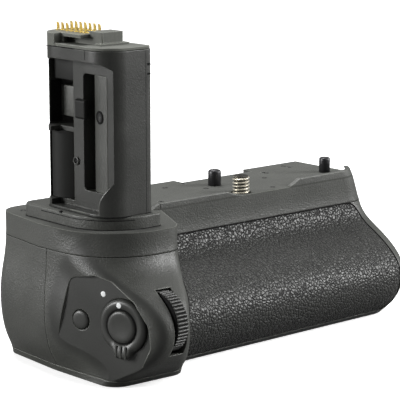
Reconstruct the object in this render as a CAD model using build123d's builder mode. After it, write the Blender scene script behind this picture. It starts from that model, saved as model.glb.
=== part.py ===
from build123d import *
from math import cos, degrees, hypot, pi, radians, sin
import os

# A camera battery grip: a long hand grip that screws under a camera, with a tower that reaches up
# into the camera's battery chamber. Millimetres. The origin is where the mounting screw's axis
# meets the top face. X runs along the body, the shutter button end is -X, the rubber side is -Y.

os.makedirs("parts", exist_ok=True)

# Driving sizes of the body
body_height = 52.4
panel_y = -5.0
back_y = 34.2
end_x = 60.0
end_flare = 6.0
nose_reach = 24.5
lip_height = 2.7
side_wall = 3.0
top_wall = 2.2
floor_wall = 2.2
back_wall = 3.6
end_radius = 12.0
parting_gap = 0.2
overrun = 1.0

# Shared clearances
running_clearance = 0.05
button_clearance = 0.3
seat_clearance = 0.02
rest_gap = 0.3

# Front profile of the long body: forward share of nose_reach, depth share of body_height and
# end flare share, from the underside of the lip to the bottom face
front_profile_shares = (
    (0.0, 0.05, 0.45), (0.0, 0.157, 0.78), (0.065, 0.271, 1.0), (0.433, 0.399, 1.0),
    (0.767, 0.506, 1.0), (0.967, 0.618, 0.95), (1.0, 0.718, 0.88), (0.918, 0.84, 0.83),
    (0.686, 0.962, 0.75), (0.59, 1.0, 0.72),
)
bar_start_x = -62.0

# Plan outlines of the hand bump at the shutter end, each a ring of corners: back left, left side,
# front left, front right, flank foot and back inner corner, with the radius of each corner
bump_inner_x = -41.5
nose_y = -49.0
side_bend_radius = 60.0
rim_outline = (
    (-86.0, back_y, 9.0), (-90.5, 2.0, side_bend_radius), (-87.5, -31.0, 24.0),
    (-56.5, -31.0, 8.0), (bump_inner_x, -1.0, 0), (bump_inner_x, back_y, 0),
)
belly_outline = (
    (-89.5, back_y, 9.0), (-92.0, -4.0, side_bend_radius), (-80.0, nose_y, 7.0),
    (-67.6, nose_y, 7.0), (-46.0, -23.0, 0), (bump_inner_x, back_y, 0),
)
foot_outline = (
    (-84.0, back_y - rest_gap, 7.0), (-86.0, 2.0, side_bend_radius), (-85.0, -29.5, 7.0),
    (-56.0, -31.0, 7.0), (-45.0, -17.0, 0), (bump_inner_x, back_y - rest_gap, 0),
)
# Depth share of body_height, then the shares of rim, belly and foot outline at that depth
bump_level_shares = (
    (0.0, 1.0, 0.0, 0.0), (0.16, 0.97, 0.03, 0.0), (0.36, 0.45, 0.55, 0.0),
    (0.55, 0.0, 1.0, 0.0), (0.75, 0.0, 0.85, 0.15), (0.92, 0.0, 0.25, 0.75), (1.0, 0.0, 0.0, 1.0),
)

# Parting planes of the casing
bump_seam_z = -8.0
groove_z = -10.0
seam_y = 0.0
base_z = -body_height + floor_wall

# Raised lip along the panel: a left stretch and a right stretch that ends in a small horn
lip_thickness = 1.6
left_lip_height = 2.2
left_lip_start_x = -43.5
left_lip_level_x = -11.5
left_lip_end_x = -4.7
right_lip_start_x = 20.2
right_lip_level_x = 26.2
horn_y = 3.0

# Rubber skins
rubber_thickness = 1.3
rubber_start_x = -52.0
rubber_end_x = 57.0
rubber_top_z = groove_z - parting_gap
rubber_corner_radius = 6.0
thumb_rubber_length = 46.0
thumb_rubber_height = 10.4
thumb_rubber_depth = 0.8
thumb_rubber_proud = 0.5
thumb_rubber_x = -33.0
thumb_rubber_z = -16.5

# Camera mounting screw, a quarter inch camera thread
screw_radius = 3.175
screw_rise = 6.4
screw_chamfer = 0.7
screw_shank_radius = 3.4
screw_hole_radius = 3.9
bush_radius = 4.4
bush_top_z, bush_low_z = -1.6, -8.0

# Gear train between the wheel and the screw
gear_module = 0.6
screw_teeth = 20
idler_teeth = 14
wheel_teeth = 30
gear_thickness = 3.0
gear_gap = 0.4
gear_addendum = 0.75
gear_dedendum = 1.05
tooth_root_share = 0.31
tooth_tip_share = 0.13
plate_thickness = 1.8

# Attachment wheel in its recess at the back
wheel_turn_deg = 52.6
wheel_radius = 13.6
wheel_height = 7.5
wheel_top_z = -4.8
wheel_rib_count = 44
wheel_rib_depth = 0.5
wheel_hub_radius = 4.0
axle_radius = 2.0
idler_pin_radius = 1.2
recess_start_x = -4.0
recess_end_x = 32.5
recess_depth = 5.2
recess_height = 15.0

# Locating pins
left_pin_x, left_pin_y, left_pin_radius, left_pin_rise = 1.8, 16.9, 2.5, 6.0
right_pin_x, right_pin_y, right_pin_radius, right_pin_rise = 53.0, 9.0, 2.2, 6.0
pin_shoulder = 0.4
pin_flange = 1.2
pin_chamfer = 0.6

# Batteries, side by side along X in the tray
battery_length = 56.0
battery_depth = 40.0
battery_height = 20.5
battery_radius = 2.0
battery_gap = 0.3
tray_wall = 1.2
tray_floor = 1.0
tray_centre_x = 1.5
liner_gap = 0.4
liner_wall = 1.0
cover_thickness = 2.4
cover_margin = 1.2
cover_radius = 2.5

# Spring strips in the chamber that meet the batteries
strip_width, strip_height, strip_pitch = 2.0, 4.4, 4.4
contact_window_length, contact_window_height = 20.0, 10.0

# Latch of the tray cover
latch_radius = 5.8
latch_knob_thickness = 1.2
latch_cam_thickness = 0.9
latch_cam_width = 4.0
latch_inset = 6.2
latch_reach = 7.0
latch_grip_width = 2.0

# Facet of the end face that holds the shutter button
facet_turn = 16.0
facet_x, facet_y, facet_z = -82.8, -32.9, -30.1
facet_outline_shares = (
    (-0.85, 0.54), (-0.42, 0.62), (-0.18, 0.56), (0.20, 0.34), (0.42, 0.06), (0.45, -0.22),
    (0.28, -0.52), (-0.20, -0.84), (-0.80, -0.84), (-1.14, -0.60),
)
facet_size = 26.0
facet_round = 4.0

# Shutter button and lock ring
shutter_radius = 5.6
shutter_height = 2.2
shutter_depth = 1.6
shutter_stroke = 1.0
ring_radius = 9.3
ring_height = 1.7
ring_depth = 0.6
ring_bevel = 0.9
ring_tab_length = 2.2
ring_tab_width = 7.5
ring_tab_height = 2.3
switch_height = 1.3
switch_side = 4.4

# Function button beside it
function_radius = 3.3
function_u, function_v = -17.8, -0.3
function_height = 0.7
function_depth = 1.6
function_stroke = 0.8

# Front and rear dials
front_dial_x, front_dial_z = -71.4, -29.0
front_dial_radius = 10.5
front_dial_width = 5.0
front_dial_proud = 1.3
front_dial_ribs = 48
rear_dial_x, rear_dial_z = -71.0, -18.5
rear_dial_radius = 9.5
rear_dial_width = 6.0
rear_dial_proud = 2.2
rear_dial_ribs = 36
dial_rib_depth = 0.5
dial_gap = 0.6
dial_axle_radius = 1.25
front_axle_left_x, front_axle_right_x = -79.2, -62.0
bracket_wall = 1.2
bracket_height = 9.0

# Rear button and joystick
af_x, af_z = -61.5, -16.0
af_radius = 3.8
af_height = 1.2
af_depth = 3.6
af_stroke = 0.8
stick_x, stick_z = -71.0, -38.0
stick_radius = 4.0
stick_stem_radius = 1.3
stick_cap_low = 1.2
stick_cap_height = 2.2
stick_well_radius = 6.6
stick_well_depth = 2.2
pivot_depth = 6.7
gimbal_radius = 2.2
gimbal_thickness = 1.2
stick_gap = 0.4
stick_base_side = 8.0
stick_base_height = 2.0

# Tower that goes into the battery chamber
tower_left_x, tower_right_x = -83.3, -62.8
tower_front_y, tower_back_y = -24.5, 13.0
tower_radius = 9.0
tower_edge_radius = 2.0
flange_height = 4.7
tower_top_z = 60.5
flange_left_x, flange_right_x = -85.6, -60.0
flange_front_y, flange_back_y = -26.0, 20.3
flange_radius = 19.0
flange_back_radius = 3.5
flange_edge = 0.5
pocket_depth = 4.5
pocket_back_y = 6.0
pocket_front_y = -25.5
pocket_foot_y = -19.4
pocket_low_z, pocket_high_z = 5.6, 56.5
pocket_bend_z = 20.0
pocket_foot_z = 10.0
pocket_top_radius = 8.0
pocket_bend_radius = 14.0
slot_back_y, slot_front_y = -7.0, -20.0
slot_low_z, slot_high_z = 12.0, 52.0
slot_depth = 13.0
slot_radius = 1.5
channel_back_y, channel_front_y = 11.2, -1.5
channel_low_z, channel_high_z = 7.5, 56.0
channel_depth = 13.0
channel_radius = 5.0
shelf_z = 32.0
shelf_height = 1.6
peg_y, peg_z = -7.0, 39.8
peg_width, peg_height, peg_rise = 5.6, 6.6, 1.8
peg_radius = 0.8
cap_gap = 0.2
cap_top_z = 65.0
cap_base_height = 0.9
cap_inset = 0.15
cap_block_y = 3.0
roof_thickness = 1.1
roof_front_y = -8.0
roof_left_x = -80.5
roof_right_x = -66.0
connector_left_x, connector_right_x = -76.6, -67.5
connector_front_y = -14.5
connector_top_z = 66.0
connector_step = 1.5

# Gold contacts on the tower
contact_rows_x = (-75.4, -69.6)
contact_count = 7
contact_pitch = 2.6
contact_first_y = 11.0
contact_width, contact_thickness, contact_rise = 1.7, 0.6, 2.8

# Fasteners
tower_screw_radius = 1.6
tower_screw_head = 1.0
plate_screw_radius = 1.1
plate_screw_places = ((-5.0, 27.5), (34.0, 24.0), (50.0, 26.0), (-34.0, 6.0), (-34.0, 28.0))
base_screw_radius = 1.9
base_screw_places = ((-72.0, 20.0), (-72.0, -12.0), (-30.0, 10.0), (35.0, 10.0), (56.0, -14.0),
                     (56.0, 24.0))
screw_head_depth = 1.0

# Tripod socket in the base, a quarter inch camera thread
socket_radius = 3.175
socket_flange_radius = 7.5
socket_flange_thickness = 1.2
socket_x, socket_y = 0.0, 10.0
socket_sleeve_radius = 5.0
socket_room = 2.4
base_rib = 1.4

# Boards
board_thickness = 1.2
main_board_length, main_board_depth = 46.0, 26.0
main_board_x, main_board_y = -34.0, 14.0
control_board_width, control_board_height = 27.0, 14.0
control_board_u = -10.5
rear_board_height = 10.0
plate_low_x, plate_high_x = -9.0, 30.0
plate_low_y, plate_high_y = -8.0, 30.0

# Worked out from the sizes above
back_inner_y = back_y - back_wall
liner_low_z = base_z + socket_room
tray_low_z = liner_low_z + liner_wall + rest_gap
battery_low_z = tray_low_z + tray_floor + battery_gap
battery_top_z = battery_low_z + battery_height
liner_top_z = battery_top_z + 2 * rest_gap + liner_wall
plate_top_z = liner_top_z + plate_thickness
gear_low_z = plate_top_z + gear_gap
gear_top_z = gear_low_z + gear_thickness
cover_inner_y = back_y - cover_thickness
tray_length = 2 * battery_length + 3 * tray_wall + 4 * battery_gap
tray_front_y = cover_inner_y - battery_gap - battery_depth - battery_gap - tray_wall
liner_front_y = tray_front_y - 2 * rest_gap - liner_wall
liner_length = tray_length + 2 * liner_gap + 2 * liner_wall
cover_length = tray_length + 2 * cover_margin + 2 * liner_gap
cover_low_z = tray_low_z - cover_margin
cover_high_z = battery_top_z + 2 * rest_gap + cover_margin
screw_gear_radius = gear_module * screw_teeth / 2
idler_gear_radius = gear_module * idler_teeth / 2
wheel_gear_radius = gear_module * wheel_teeth / 2
idler_distance = screw_gear_radius + idler_gear_radius
wheel_distance = idler_distance + idler_gear_radius + wheel_gear_radius
idler_x = idler_distance * cos(radians(wheel_turn_deg))
idler_y = idler_distance * sin(radians(wheel_turn_deg))
wheel_x = wheel_distance * cos(radians(wheel_turn_deg))
wheel_y = wheel_distance * sin(radians(wheel_turn_deg))
facet_normal = (-cos(radians(facet_turn)), -sin(radians(facet_turn)), 0)
facet_plane = Plane(
    origin=(facet_x, facet_y, facet_z),
    x_dir=(sin(radians(facet_turn)), -cos(radians(facet_turn)), 0),
    z_dir=facet_normal,
)
front_dial_y = nose_y + front_dial_radius - front_dial_proud
rear_dial_y = back_y - rear_dial_radius + rear_dial_proud
latch_x = tray_centre_x + cover_length / 2 - latch_inset
latch_z = (cover_low_z + cover_high_z) / 2


def save(piece, name):
    """Label a finished piece and write it."""
    piece.part.label = name
    export_step(piece.part, f"parts/{name}.step")


def block(low, high):
    """A plain box between two corners, used as a cutting or keeping zone."""
    size = [b - a for a, b in zip(low, high)]
    middle = [(a + b) / 2 for a, b in zip(low, high)]
    with BuildPart(Plane(origin=middle)) as zone:
        Box(*size)
    return zone.part


def rod(radius, start, length, direction=(0, 0, 1)):
    """A round bar from a point along a direction."""
    with BuildPart() as bar:
        with BuildSketch(Plane(origin=start, z_dir=direction)):
            Circle(radius)
        extrude(amount=length)
    return bar.part


def mixed_outline(shares):
    """Corners of the bump's outline between the rim, the belly and the foot."""
    corners = []
    for rim, belly, foot in zip(rim_outline, belly_outline, foot_outline):
        corners.append(tuple(
            shares[0] * a + shares[1] * b + shares[2] * c for a, b, c in zip(rim, belly, foot)
        ))
    return corners


def bump_solid(inset):
    """Hand bump at the shutter end, lofted through its plan outlines."""
    with BuildPart() as bump:
        for depth_share, *shares in bump_level_shares:
            with BuildSketch(Plane.XY.offset(-depth_share * body_height)):
                corners = mixed_outline(shares)
                with BuildLine():
                    FilletPolyline(
                        [(x, y) for x, y, radius in corners],
                        radius=[radius for x, y, radius in corners],
                        close=True,
                    )
                make_face()
                if inset:
                    offset(amount=-inset, kind=Kind.INTERSECTION, mode=Mode.REPLACE)
        loft()
    return bump.part


def bar_solid(inset):
    """Long body: a plan outline with one rounded corner, carried down the front profile."""
    far_y = back_y + nose_reach + overrun
    with BuildPart() as bar:
        with BuildLine() as path:
            Spline(
                [(end_x, panel_y, lip_height)]
                + [
                    (end_x + end_flare * flare, panel_y - nose_reach * reach, -body_height * depth)
                    for reach, depth, flare in front_profile_shares
                ]
            )
        with BuildSketch(Plane.XY.offset(lip_height)):
            with BuildLine():
                FilletPolyline(
                    (bar_start_x, far_y), (bar_start_x, panel_y + inset),
                    (end_x - inset, panel_y + inset), (end_x - inset, far_y),
                    radius=[0, 0, end_radius - inset, 0],
                    close=True,
                )
            make_face()
        sweep(path=path.line, normal=(0, 0, 1))
    return bar.part


far = 4 * body_height
whole_zone = block((-far, -far, -body_height), (far, back_y, 0))
bar_outer = bar_solid(0)
bar_under_rubber = bar_solid(rubber_thickness)
bump_outer = bump_solid(0)

with BuildPart() as body:
    add(bump_outer)
    add(bar_outer)
    add(whole_zone, mode=Mode.INTERSECT)

with BuildPart() as hollow:
    add(bump_solid(side_wall))
    add(bar_solid(side_wall))
    add(block((-far, -far, base_z), (far, back_inner_y, -top_wall)), mode=Mode.INTERSECT)

# The casing splits at the bump's seam, at the groove over the rubber, at the end seam and
# above the base plate
with BuildPart() as top_zone:
    add(block((-far, -far, bump_seam_z), (bump_inner_x, far, far)))
    add(block((bump_inner_x, -far, groove_z), (far, far, far)))

with BuildPart() as lower_zone:
    add(block((-far, -far, base_z + parting_gap), (bump_inner_x, far, bump_seam_z - parting_gap)))
    add(block((bump_inner_x, -far, base_z + parting_gap), (far, far, groove_z - parting_gap)))

with BuildPart() as rubber_zone:
    with BuildSketch(Plane.XZ):
        with BuildLine():
            FilletPolyline(
                (rubber_start_x, base_z + parting_gap), (rubber_start_x, rubber_top_z),
                (rubber_end_x, rubber_top_z), (rubber_end_x, base_z + parting_gap),
                radius=[0, 0, rubber_corner_radius, rubber_corner_radius],
                close=True,
            )
        make_face()
    extrude(amount=far)


def make_lip():
    """Raised lip over the panel, with the horn at its far end."""
    with BuildPart() as lip:
        add(bar_outer)
        add(bar_solid(lip_thickness), mode=Mode.SUBTRACT)
        with BuildSketch(Plane.XZ.offset(-horn_y)):
            with BuildLine():
                Polyline(
                    (left_lip_start_x, 0), (left_lip_start_x, left_lip_height),
                    (left_lip_level_x, left_lip_height), (left_lip_end_x, 0), close=True,
                )
            make_face()
            with BuildLine():
                Polyline(
                    (right_lip_start_x, 0), (right_lip_level_x, lip_height),
                    (end_x + end_flare, lip_height), (end_x + end_flare, 0), close=True,
                )
            make_face()
        extrude(amount=far, mode=Mode.INTERSECT)
    return lip.part


def cut_recess(zone):
    """Put the walled recess for the attachment wheel into the casing part being built."""
    wall = lip_thickness
    with BuildPart(mode=Mode.PRIVATE) as housing:
        add(block(
            (recess_start_x - wall, back_y - recess_depth - wall, -recess_height - wall),
            (recess_end_x + wall, back_inner_y, -top_wall),
        ))
        add(zone, mode=Mode.INTERSECT)
    add(housing.part)
    add(block((recess_start_x, back_y - recess_depth, -recess_height), (recess_end_x, far, far)),
        mode=Mode.SUBTRACT)
    add(rod(wheel_radius + gear_gap, (wheel_x, wheel_y, wheel_top_z - wheel_height - gear_gap),
            wheel_height + 2 * gear_gap), mode=Mode.SUBTRACT)


def make_top_cover():
    """Upper casing: top face, smooth panel strip, lip and the wheel's recess."""
    with BuildPart() as top_cover:
        add(body.part)
        add(top_zone.part, mode=Mode.INTERSECT)
        add(hollow.part, mode=Mode.SUBTRACT)
        add(make_lip())
        cut_recess(top_zone.part)
        add(rod(screw_hole_radius, (0, 0, -far), 2 * far), mode=Mode.SUBTRACT)
        add(rod(bush_radius + seat_clearance, (0, 0, -far), far + bush_top_z), mode=Mode.SUBTRACT)
        for x, y, radius in (
            (left_pin_x, left_pin_y, left_pin_radius),
            (right_pin_x, right_pin_y, right_pin_radius),
        ):
            add(rod(radius - pin_shoulder + seat_clearance, (x, y, -far), 2 * far),
                mode=Mode.SUBTRACT)
        for x, y in plate_screw_places:
            add(rod(plate_screw_radius + seat_clearance, (x, y, -screw_head_depth), far),
                mode=Mode.SUBTRACT)
    save(top_cover, "top_cover")


def control_cuts():
    """Space for the buttons, dials and their parts, cut from the casing around them."""
    with BuildPart() as cuts:
        ring_plane = facet_plane.offset(-ring_depth - seat_clearance)
        with BuildSketch(ring_plane):
            Circle(ring_radius + button_clearance)
        extrude(amount=far)
        with BuildSketch(facet_plane.offset(-side_wall * 2)):
            Circle(shutter_radius + button_clearance)
            with Locations((function_u, function_v)):
                Circle(function_radius + button_clearance)
        extrude(amount=far)
        low_x = front_dial_x - front_dial_width / 2 - dial_gap
        high_x = front_dial_x + front_dial_width / 2 + dial_gap
        half_slot = front_dial_radius - dial_gap / 2
        add(block((low_x, -far, front_dial_z - half_slot),
                  (high_x, front_dial_y, front_dial_z + half_slot)))
        add(rod(front_dial_radius + dial_gap, (low_x, front_dial_y, front_dial_z),
                high_x - low_x, (1, 0, 0)))
        low_x = rear_dial_x - rear_dial_width / 2 - dial_gap
        high_x = rear_dial_x + rear_dial_width / 2 + dial_gap
        add(rod(rear_dial_radius + dial_gap, (low_x, rear_dial_y, rear_dial_z),
                high_x - low_x, (1, 0, 0)))
        add(rod(af_radius + button_clearance, (af_x, 0, af_z), far, (0, 1, 0)))
        add(rod(stick_well_radius, (stick_x, back_y - stick_well_depth, stick_z), far, (0, 1, 0)))
        add(rod(stick_stem_radius * 2, (stick_x, 0, stick_z), far, (0, 1, 0)))
        add(rod(dial_axle_radius + seat_clearance, (front_axle_left_x, front_dial_y, front_dial_z),
                front_axle_right_x - front_axle_left_x, (1, 0, 0)))
    return cuts.part


def make_front_cover():
    """Front casing with the hand bump, the facet and the wall behind the rubber."""
    with BuildPart() as facet_cut:
        with BuildSketch(facet_plane):
            with BuildLine():
                FilletPolyline(
                    [(u * facet_size, v * facet_size) for u, v in facet_outline_shares],
                    radius=facet_round,
                    close=True,
                )
            make_face()
        extrude(amount=far)
    with BuildPart() as rubber_seat:
        add(bar_outer)
        add(bar_under_rubber, mode=Mode.SUBTRACT)
        add(rubber_zone.part, mode=Mode.INTERSECT)
    with BuildPart() as front_cover:
        add(body.part)
        add(lower_zone.part, mode=Mode.INTERSECT)
        add(block((-far, -far, -far), (far, seam_y - parting_gap / 2, far)), mode=Mode.INTERSECT)
        add(hollow.part, mode=Mode.SUBTRACT)
        add(facet_cut.part, mode=Mode.SUBTRACT)
        add(rubber_seat.part, mode=Mode.SUBTRACT)
        add(control_cuts(), mode=Mode.SUBTRACT)
        add(rod(screw_gear_radius + gear_addendum + button_clearance, (0, 0, plate_top_z), far),
            mode=Mode.SUBTRACT)
    save(front_cover, "front_cover")


def make_front_rubber():
    """Rubber skin over the long front of the grip."""
    with BuildPart() as front_grip_rubber:
        add(bar_outer)
        add(bar_solid(rubber_thickness - seat_clearance), mode=Mode.SUBTRACT)
        add(rubber_zone.part, mode=Mode.INTERSECT)
        add(bump_outer, mode=Mode.SUBTRACT)
    save(front_grip_rubber, "front_grip_rubber")


def make_rear_shell():
    """Rear casing with the tray opening, the wheel recess and the thumb side controls."""
    half_opening = tray_length / 2 + liner_gap
    with BuildPart() as rear_shell:
        add(body.part)
        add(lower_zone.part, mode=Mode.INTERSECT)
        add(block((-far, seam_y + parting_gap / 2, -far), (far, far, far)), mode=Mode.INTERSECT)
        add(hollow.part, mode=Mode.SUBTRACT)
        cut_recess(lower_zone.part)
        add(block(
            (tray_centre_x - half_opening, 0, tray_low_z - rest_gap),
            (tray_centre_x + half_opening, far, battery_top_z + rest_gap),
        ), mode=Mode.SUBTRACT)
        add(cover_outline(button_clearance), mode=Mode.SUBTRACT)
        add(rod(hypot(latch_reach, latch_cam_width / 2) + rest_gap,
                (latch_x, cover_inner_y - seat_clearance, latch_z),
                latch_cam_thickness + rest_gap + seat_clearance, (0, 1, 0)), mode=Mode.SUBTRACT)
        add(control_cuts(), mode=Mode.SUBTRACT)
        add(thumb_pad(thumb_rubber_depth, button_clearance / 2), mode=Mode.SUBTRACT)
    save(rear_shell, "rear_shell")


def thumb_pad(depth, margin):
    """Rounded pad on the back face, from a depth under the face up to its proud height."""
    with BuildPart() as pad:
        with BuildSketch(Plane.XZ.offset(-(back_y - depth))):
            with Locations((thumb_rubber_x, thumb_rubber_z)):
                RectangleRounded(thumb_rubber_length + 2 * margin, thumb_rubber_height + 2 * margin,
                                 thumb_rubber_height / 3)
        extrude(amount=-(depth + thumb_rubber_proud))
    return pad.part


def make_thumb_rubber():
    """Rubber pad for the thumb, seated in the back face."""
    with BuildPart() as thumb_rest_rubber:
        add(thumb_pad(thumb_rubber_depth - seat_clearance, 0))
        fillet(thumb_rest_rubber.faces().sort_by(Axis.Y)[-1].edges(), thumb_rubber_proud / 2)
    save(thumb_rest_rubber, "thumb_rest_rubber")


def cover_outline(margin):
    """Plate the size of the tray cover with a margin all round."""
    with BuildPart() as plate:
        with BuildSketch(Plane.XZ.offset(-(cover_inner_y - (seat_clearance if margin else 0)))):
            with Locations((tray_centre_x, (cover_low_z + cover_high_z) / 2)):
                RectangleRounded(cover_length + 2 * margin, cover_high_z - cover_low_z + 2 * margin,
                                 cover_radius)
        extrude(amount=-(cover_thickness + (overrun if margin else 0)))
    return plate.part


def make_base_plate():
    """Base plate with the walls that carry the battery chamber."""
    half = liner_length / 2
    with BuildPart() as base_plate:
        add(body.part)
        add(block((-far, -far, -far), (far, far, base_z)), mode=Mode.INTERSECT)
        low = (tray_centre_x - half, liner_front_y, base_z)
        high = (tray_centre_x + half, back_inner_y - rest_gap, liner_low_z)
        add(block(low, high))
        for side in (-1, 1):
            middle = tray_centre_x + side * half / 2
            add(block(
                (middle - half / 2 + base_rib, liner_front_y + base_rib, base_z),
                (middle + half / 2 - base_rib, back_inner_y - rest_gap - base_rib, liner_low_z),
            ), mode=Mode.SUBTRACT)
        add(rod(socket_sleeve_radius + base_rib, (socket_x, socket_y, base_z), socket_room))
        add(rod(socket_sleeve_radius + seat_clearance, (socket_x, socket_y, -far), far),
            mode=Mode.SUBTRACT)
        add(rod(socket_flange_radius + seat_clearance, (socket_x, socket_y, -body_height),
                socket_flange_thickness), mode=Mode.SUBTRACT)
        for x, y in base_screw_places:
            add(rod(base_screw_radius + seat_clearance, (x, y, -body_height), screw_head_depth),
                mode=Mode.SUBTRACT)
    save(base_plate, "base_plate")


def make_tripod_socket():
    """Metal tripod socket set into the base."""
    with BuildPart() as tripod_socket:
        add(rod(socket_flange_radius, (socket_x, socket_y, -body_height), socket_flange_thickness))
        add(rod(socket_sleeve_radius, (socket_x, socket_y, -body_height),
                floor_wall + socket_room - seat_clearance))
        add(rod(socket_radius, (socket_x, socket_y, -far), far), mode=Mode.SUBTRACT)
    save(tripod_socket, "tripod_socket")


def make_fasteners():
    """Screw heads in the top face, in the base and on the tower, one node each."""
    with BuildPart() as plate_screws:
        for x, y in plate_screw_places:
            add(rod(plate_screw_radius, (x, y, -screw_head_depth), screw_head_depth))
    save(plate_screws, "plate_screws")
    with BuildPart() as base_screws:
        for x, y in base_screw_places:
            add(rod(base_screw_radius, (x, y, -body_height), screw_head_depth))
    save(base_screws, "base_screws")


def gear(teeth, radius, phase, centre, bore):
    """A spur gear with tapered teeth, one of them at the phase angle."""
    step = 2 * pi / teeth
    points = []
    for index in range(teeth):
        middle = radians(phase) + index * step
        for edge_radius, share in (
            (radius - gear_dedendum, -tooth_root_share), (radius + gear_addendum, -tooth_tip_share),
            (radius + gear_addendum, tooth_tip_share), (radius - gear_dedendum, tooth_root_share),
        ):
            angle = middle + share * step
            points.append((centre[0] + edge_radius * cos(angle), centre[1] + edge_radius * sin(angle)))
    with BuildPart() as wheel:
        with BuildSketch(Plane.XY.offset(gear_low_z)):
            with BuildLine():
                Polyline(points, close=True)
            make_face()
            with Locations(centre):
                Circle(bore, mode=Mode.SUBTRACT)
        extrude(amount=gear_thickness)
    return wheel


def make_screw_drive():
    """Mounting screw, its bush and collar, and the gears that drive it from the wheel."""
    with BuildPart() as mounting_screw:
        add(rod(screw_radius, (0, 0, 0), screw_rise))
        chamfer(mounting_screw.faces().sort_by(Axis.Z)[-1].edges(), screw_chamfer)
        add(rod(screw_shank_radius, (0, 0, plate_top_z + seat_clearance),
                -plate_top_z - seat_clearance))
    save(mounting_screw, "mounting_screw")
    with BuildPart() as screw_bush:
        add(rod(bush_radius, (0, 0, bush_low_z), bush_top_z - bush_low_z))
        add(rod(screw_shank_radius + running_clearance, (0, 0, -far), far), mode=Mode.SUBTRACT)
    save(screw_bush, "screw_bush")
    tooth_half = degrees(pi / idler_teeth)
    save(gear(screw_teeth, screw_gear_radius, wheel_turn_deg, (0, 0),
              screw_shank_radius + seat_clearance), "screw_gear")
    save(gear(idler_teeth, idler_gear_radius, wheel_turn_deg + tooth_half, (idler_x, idler_y),
              idler_pin_radius + running_clearance), "idler_gear")
    save(gear(wheel_teeth, wheel_gear_radius, wheel_turn_deg, (wheel_x, wheel_y),
              wheel_hub_radius + seat_clearance), "wheel_gear")
    with BuildPart() as idler_pin:
        add(rod(idler_pin_radius, (idler_x, idler_y, plate_top_z),
                gear_top_z - plate_top_z + gear_gap))
    save(idler_pin, "idler_pin")
    with BuildPart() as wheel_axle:
        add(rod(axle_radius, (wheel_x, wheel_y, plate_top_z), -top_wall - plate_top_z))
    save(wheel_axle, "wheel_axle")
    with BuildPart() as gear_plate:
        add(block((plate_low_x, plate_low_y, liner_top_z), (plate_high_x, plate_high_y, plate_top_z)))
        fillet(gear_plate.edges().filter_by(Axis.Z), bracket_wall)
    save(gear_plate, "gear_plate")


def ribbed_disc(plane, radius, width, ribs, rib_depth):
    """A round disc on a plane with even grooves cut along its rim."""
    groove = pi * radius / ribs
    with BuildPart() as disc:
        with BuildSketch(plane):
            Circle(radius)
            with PolarLocations(radius, ribs):
                Rectangle(2 * rib_depth, groove, mode=Mode.SUBTRACT)
        extrude(amount=width)
    return disc.part


def make_attachment_wheel():
    """Ribbed wheel at the back, with the hub that carries its gear."""
    wheel_low_z = wheel_top_z - wheel_height
    with BuildPart() as attachment_wheel:
        add(ribbed_disc(Plane(origin=(wheel_x, wheel_y, wheel_low_z)), wheel_radius, wheel_height,
                        wheel_rib_count, wheel_rib_depth))
        add(rod(wheel_hub_radius, (wheel_x, wheel_y, gear_low_z), wheel_low_z - gear_low_z))
        add(rod(axle_radius + running_clearance, (wheel_x, wheel_y, -far), 2 * far),
            mode=Mode.SUBTRACT)
    save(attachment_wheel, "attachment_wheel")


def make_locating_pins():
    """Two pins that line the grip up under the camera."""
    for name, x, y, radius, rise in (
        ("locating_pin_left", left_pin_x, left_pin_y, left_pin_radius, left_pin_rise),
        ("locating_pin_right", right_pin_x, right_pin_y, right_pin_radius, right_pin_rise),
    ):
        with BuildPart() as pin:
            add(rod(radius, (x, y, 0), rise))
            chamfer(pin.faces().sort_by(Axis.Z)[-1].edges(), pin_chamfer)
            add(rod(radius - pin_shoulder, (x, y, -top_wall), top_wall))
            add(rod(radius + pin_flange, (x, y, -top_wall - pin_flange), pin_flange))
        save(pin, name)


def dial(name, x, y, z, radius, width, ribs):
    """A ribbed command dial that turns about an axle along X."""
    with BuildPart() as command_dial:
        add(ribbed_disc(Plane(origin=(x - width / 2, y, z), x_dir=(0, 1, 0), z_dir=(1, 0, 0)),
                        radius, width, ribs, dial_rib_depth))
        add(rod(dial_axle_radius + running_clearance, (x - width, y, z), 2 * width, (1, 0, 0)),
            mode=Mode.SUBTRACT)
    save(command_dial, name)


def make_dials():
    """Front and rear command dials with their axles and the rear bracket."""
    dial("front_dial", front_dial_x, front_dial_y, front_dial_z, front_dial_radius,
         front_dial_width, front_dial_ribs)
    dial("rear_dial", rear_dial_x, rear_dial_y, rear_dial_z, rear_dial_radius,
         rear_dial_width, rear_dial_ribs)
    with BuildPart() as front_dial_axle:
        add(rod(dial_axle_radius, (front_axle_left_x, front_dial_y, front_dial_z),
                front_axle_right_x - front_axle_left_x, (1, 0, 0)))
    save(front_dial_axle, "front_dial_axle")
    inner_half = rear_dial_width / 2 + dial_gap
    outer_half = inner_half + bracket_wall
    with BuildPart() as rear_dial_axle:
        add(rod(dial_axle_radius, (rear_dial_x - outer_half, rear_dial_y, rear_dial_z),
                2 * outer_half, (1, 0, 0)))
    save(rear_dial_axle, "rear_dial_axle")
    web_y = rear_dial_y - rear_dial_radius - dial_gap
    with BuildPart() as rear_dial_bracket:
        add(block(
            (rear_dial_x - outer_half, web_y - bracket_wall, rear_dial_z - bracket_height / 2),
            (rear_dial_x + outer_half, back_inner_y, rear_dial_z + bracket_height / 2),
        ))
        add(block((rear_dial_x - inner_half, web_y, -far), (rear_dial_x + inner_half, far, far)),
            mode=Mode.SUBTRACT)
        add(rod(dial_axle_radius + seat_clearance, (rear_dial_x - far, rear_dial_y, rear_dial_z),
                2 * far, (1, 0, 0)), mode=Mode.SUBTRACT)
    save(rear_dial_bracket, "rear_dial_bracket")


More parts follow.
